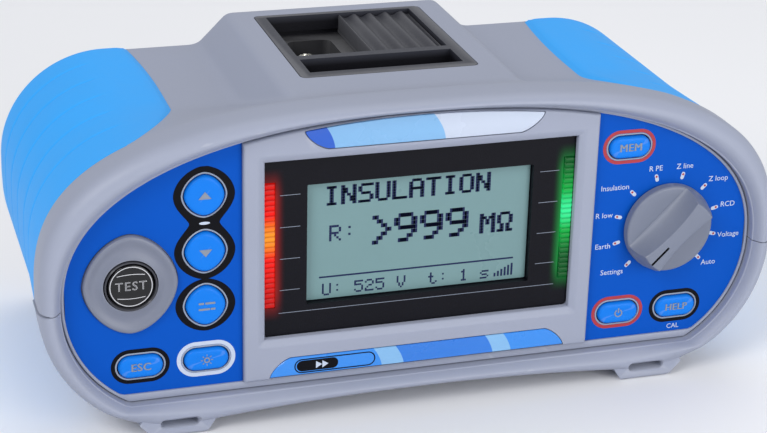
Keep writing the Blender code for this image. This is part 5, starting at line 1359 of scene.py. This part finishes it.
def screen(face, low, high):
    """A generic measurement: title, a large reading in megohms, a rule, a last line and rising bars. The
    letter W stands for the ohm sign."""
    y = face - 0.03
    ink = [dot_words("INSULATION", -29.8, high - 2.0, 0.88, y, bold=0.5),
           dot_words("R:", -28.0, high - 14.6, 0.74, y),
           dot_words(">999", -16.0, high - 12.8, 1.36, y, bold=0.5),
           dot_words("MW", 19.5, high - 15.6, 0.94, y, bold=0.5),
           dot_words("U: 525 V  t: 1 s", -30.0, low + 5.2, 0.56, y)]
    bars = [((0.0, low + 7.4), (62.0, 0.5))]
    bars += [((25.2 + 1.1 * k, low + 2.2 + 0.28 * k), (0.6, 1.2 + 0.56 * k)) for k in range(6)]
    ink += [thin_bar(centre, size, 0.05, y - 0.04, y + 0.04) for centre, size in bars]
    piece("lcd_reading", ink, LCD_INK)


# ---------------------------------------------------------------- connector panel and rear

def shutter():
    """Sliding cover: a plate with broad ribs across x. Each rib rises fast and falls slowly, as
    h = (0.5 + 0.5 cos 2 pi p) groove depths, with p the place in the pitch to the power 0.8."""
    low, high = corners("sliding_cover")
    ribs, groove = 4.5, 1.15
    x = np.linspace(low[0], high[0], 180)
    place = (x - low[0]) / (high[0] - low[0]) * ribs % 1.0
    wave = 0.5 + 0.5 * np.cos(2 * np.pi * place ** 0.8)
    top = high[2] - groove * (1 - wave)
    top[0] = high[2] - 0.25
    base = low[2] + 1.0
    front, rear = low[1] - FACE_Y, high[1] - FACE_Y
    track, edge = 0.7, 0.5
    foot = np.full(len(x), base - 0.1)
    outline = np.concatenate([np.column_stack([x, top]), np.column_stack([x, foot])[::-1]])
    rows = []
    for y, drop in ((front + track, edge), (front + track + 0.15, edge * 0.35), (front + track + edge, 0.0),
                    (rear - track - edge, 0.0), (rear - track - 0.15, edge * 0.35), (rear - track, edge)):
        loop = outline.copy()
        loop[:len(x), 1] -= drop
        rows.append(facing(loop, y))
    base_outline = rounded(((low[0] + high[0]) / 2, (front + rear) / 2), (high[0] - low[0], rear - front),
                           0.3, 3)
    piece("shutter_ribs", [capped(np.stack(rows)), solid_z(base_outline, low[2], base)], BLACK_MOULDING,
          body="shutter", replaces=["sliding_cover"], sharp_deg=50.0)


def contact():
    low, high = corners("test_contact")
    centre = ((low[0] + high[0]) / 2, (low[1] + high[1]) / 2 - FACE_Y)
    radius, top = (high[0] - low[0]) / 2, high[2]
    profile = [(radius, low[2]), (radius, top - 0.5), (radius - 0.15, top - 0.15), (radius - 0.5, top),
               (radius * 0.5, top), (radius * 0.42, top - 0.5), (0.02, top - 0.6)]
    rows = np.stack([lying(circle(centre, r, 48), z) for r, z in profile])
    piece("contact_pin", [capped(rows)], NICKEL, replaces=["test_contact"])


def screw_head(name, index):
    """Pan head with a cross recess, seen from the rear."""
    low, high = corners(name)
    centre = face_middle(low, high)
    rear, radius = high[1] - FACE_Y, (high[0] - low[0]) / 2
    profile = [(1.3, low[1] - FACE_Y), (1.3, rear - 1.7), (radius, rear - 1.7), (radius, rear - 0.5),
               (radius - 0.25, rear - 0.15), (radius - 0.8, rear)]
    made = piece(f"door_screw_{index}", [capped(turned_rows(centre, profile, 48))], STEEL,
                 replaces=[name])
    wide, long = 0.75, 3.4
    arm = np.array([(wide, long), (wide, wide), (long, wide)])
    cross = np.concatenate([arm, arm[::-1] * (1, -1), -arm, arm[::-1] * (-1, 1)]) / 2 + centre
    worked(made, [solid_y(cross, rear - 0.9, rear + 1.0)])


LABEL_RULES = (70.0, 58.0, 66.0, 44.0, 62.0, 36.0)


def rear_door():
    """Battery cover with rounded edges, its label pocket, its screws and the label's plain lines."""
    mid = face_middle(DOOR_LOW, DOOR_HIGH)
    inner, outer = DOOR_LOW[1] - FACE_Y, DOOR_HIGH[1] - FACE_Y
    rows = [facing(rounded(mid, DOOR_SIZE, 1.5), inner), facing(rounded(mid, DOOR_SIZE, 1.5), outer - 0.5)]
    for t in np.linspace(0, np.pi / 2, 5)[1:]:
        shrink = 1 - math.cos(t)
        rows.append(facing(rounded(mid, DOOR_SIZE - shrink, 1.5 - 0.5 * shrink),
                           outer - 0.5 + 0.5 * math.sin(t)))
    made = piece("battery_door", [capped(np.stack(rows))], CASE_GREY, replaces=["battery_cover"])
    low, high = corners("rear_label")
    label_mid, label_size = face_middle(low, high), (high - low)[[0, 2]] + 2 * GAP
    screws = [f"battery_cover_screw_{k}" for k in (1, 2)]
    holes = [solid_y(rounded(label_mid, label_size, 2.0), outer - 0.8, outer + 2)]
    holes += [solid_y(circle(middle(name)[[0, 2]], 3.1, 48), outer - 2.1, outer + 2) for name in screws]
    worked(made, holes)
    print_low, print_high = high[1] - FACE_Y - 0.02, high[1] - FACE_Y + 0.05
    lines = [thin_bar((high[0] - 6.0 - wide / 2, high[2] - 6.0 - 5.2 * k), (wide, 0.8), 0.2,
                      print_low, print_high, 3) for k, wide in enumerate(LABEL_RULES)]
    lines.append(plate([rounded(label_mid, label_size - 3.0, 1.2), rounded(label_mid, label_size - 3.7, 0.9)],
                       print_low, print_high))
    piece("label_rules", lines, LEGEND_GREY)
    for index, name in enumerate(screws, 1):
        screw_head(name, index)

def kept_nodes():
    """CAD pieces that stay as they are get a procedural finish by their material slot."""
    finishes = {
        "case_grey": CASE_GREY, "cover_blue": COVER_BLUE, "foil_blue": FOIL_BLUE, "key_blue": KEY_BLUE,
        "black_plastic": BLACK_MOULDING, "gloss_black": GLOSS_BLACK, "knob_grey": KNOB_GREY, "lcd": LCD_GREY,
        "white_plastic": WHITE_PLASTIC, "red_bar": PRINT_RED, "green_bar": BOARD_GREEN,
        "board_green": BOARD_GREEN, "steel": STEEL, "nickel": NICKEL, "cell_sleeve": SLEEVE,
        "fuse_ceramic": CERAMIC, "badge": LABEL, "label": LABEL,
    }
    # the connector panel and the test socket take the recess finish, with painted shade down inside
    special = {"display_mask": MASK_BLACK_PAINTED_SPILL, "connector_panel": RECESS_PAINTED_SHADE, "test_socket": RECESS_PAINTED_SHADE}
    slots = {entry["node"]: entry["material_slot"] for entry in frame["record"]["subparts"]}
    for name, thing in frame["nodes"].items():
        finish = special.get(name, finishes[slots[name]])
        thing.data.materials.clear()
        thing.data.materials.append(finish)


# ---------------------------------------------------------------- studio

CAMERA_PLACE = (-0.1747, -0.56685, 0.2949)
YAW, PITCH, ROLL = math.radians(17.37), math.radians(23.05), math.radians(1.48)
LENS = 93.28


def camera():
    """Camera looking along (sin yaw cos pitch, cos yaw cos pitch, -sin pitch), turned by a small roll."""
    ahead = Vector((math.sin(YAW) * math.cos(PITCH), math.cos(YAW) * math.cos(PITCH), -math.sin(PITCH)))
    right = Vector((math.cos(YAW), -math.sin(YAW), 0.0))
    up = right.cross(ahead)
    rolled_right = math.cos(ROLL) * right + math.sin(ROLL) * up
    rolled_up = -math.sin(ROLL) * right + math.cos(ROLL) * up
    data = bpy.data.cameras.new("camera")
    data.lens, data.sensor_width, data.clip_start = LENS, 36.0, 0.01
    made = bpy.data.objects.new("camera", data)
    turn = Matrix((rolled_right, rolled_up, -ahead)).transposed()
    made.matrix_world = Matrix.Translation(CAMERA_PLACE) @ turn.to_4x4()
    bpy.context.scene.collection.objects.link(made)
    bpy.context.scene.camera = made


def area_light(name, place, target_z, size, power):
    """White disc light aimed at a height on the object's middle line."""
    data = bpy.data.lights.new(name, "AREA")
    data.shape, data.size, data.energy = "DISK", size, power
    made = bpy.data.objects.new(name, data)
    made.location = place
    made.rotation_euler = (Vector((0.0, 0.0, target_z)) - Vector(place)).to_track_quat("-Z", "Y").to_euler()
    bpy.context.scene.collection.objects.link(made)


def studio():
    """White floor and pale sky, with three lights."""
    bpy.ops.mesh.primitive_plane_add(size=6.0)
    floor = bpy.context.object
    floor.name = "floor"
    paper, shader = new_material("paper")[::2]
    shader.inputs["Base Color"].default_value = (0.88, 0.88, 0.89, 1.0)
    shader.inputs["Roughness"].default_value = 0.7
    floor.data.materials.append(paper)
    world = bpy.data.worlds.new("studio")
    world.use_nodes = True
    sky = world.node_tree.nodes["Background"].inputs
    sky["Color"].default_value, sky["Strength"].default_value = (0.93, 0.95, 1.0, 1.0), 0.62
    bpy.context.scene.world = world
    bpy.context.scene.view_settings.view_transform = "Standard"
    area_light("key_light", (-0.8, -0.7, 0.9), 0.04, 0.6, 7.0)
    area_light("top_light", (0.3, 0.4, 1.2), 0.05, 0.9, 3.0)
    area_light("front_light", (0.5, -1.1, 0.35), 0.05, 0.8, 7.0)


kept_nodes()
case_upper()
case_lower()
side_covers()
panel_base()
display_frame()
badges()
foil(-1, "left")
foil(1, "right")
key_surrounds()
for key_name in KEYS:
    key_cap(key_name)
key_legends()
test_key()
selector_knob()
selector_scale()
display()
shutter()
contact()
rear_door()
camera()
studio()
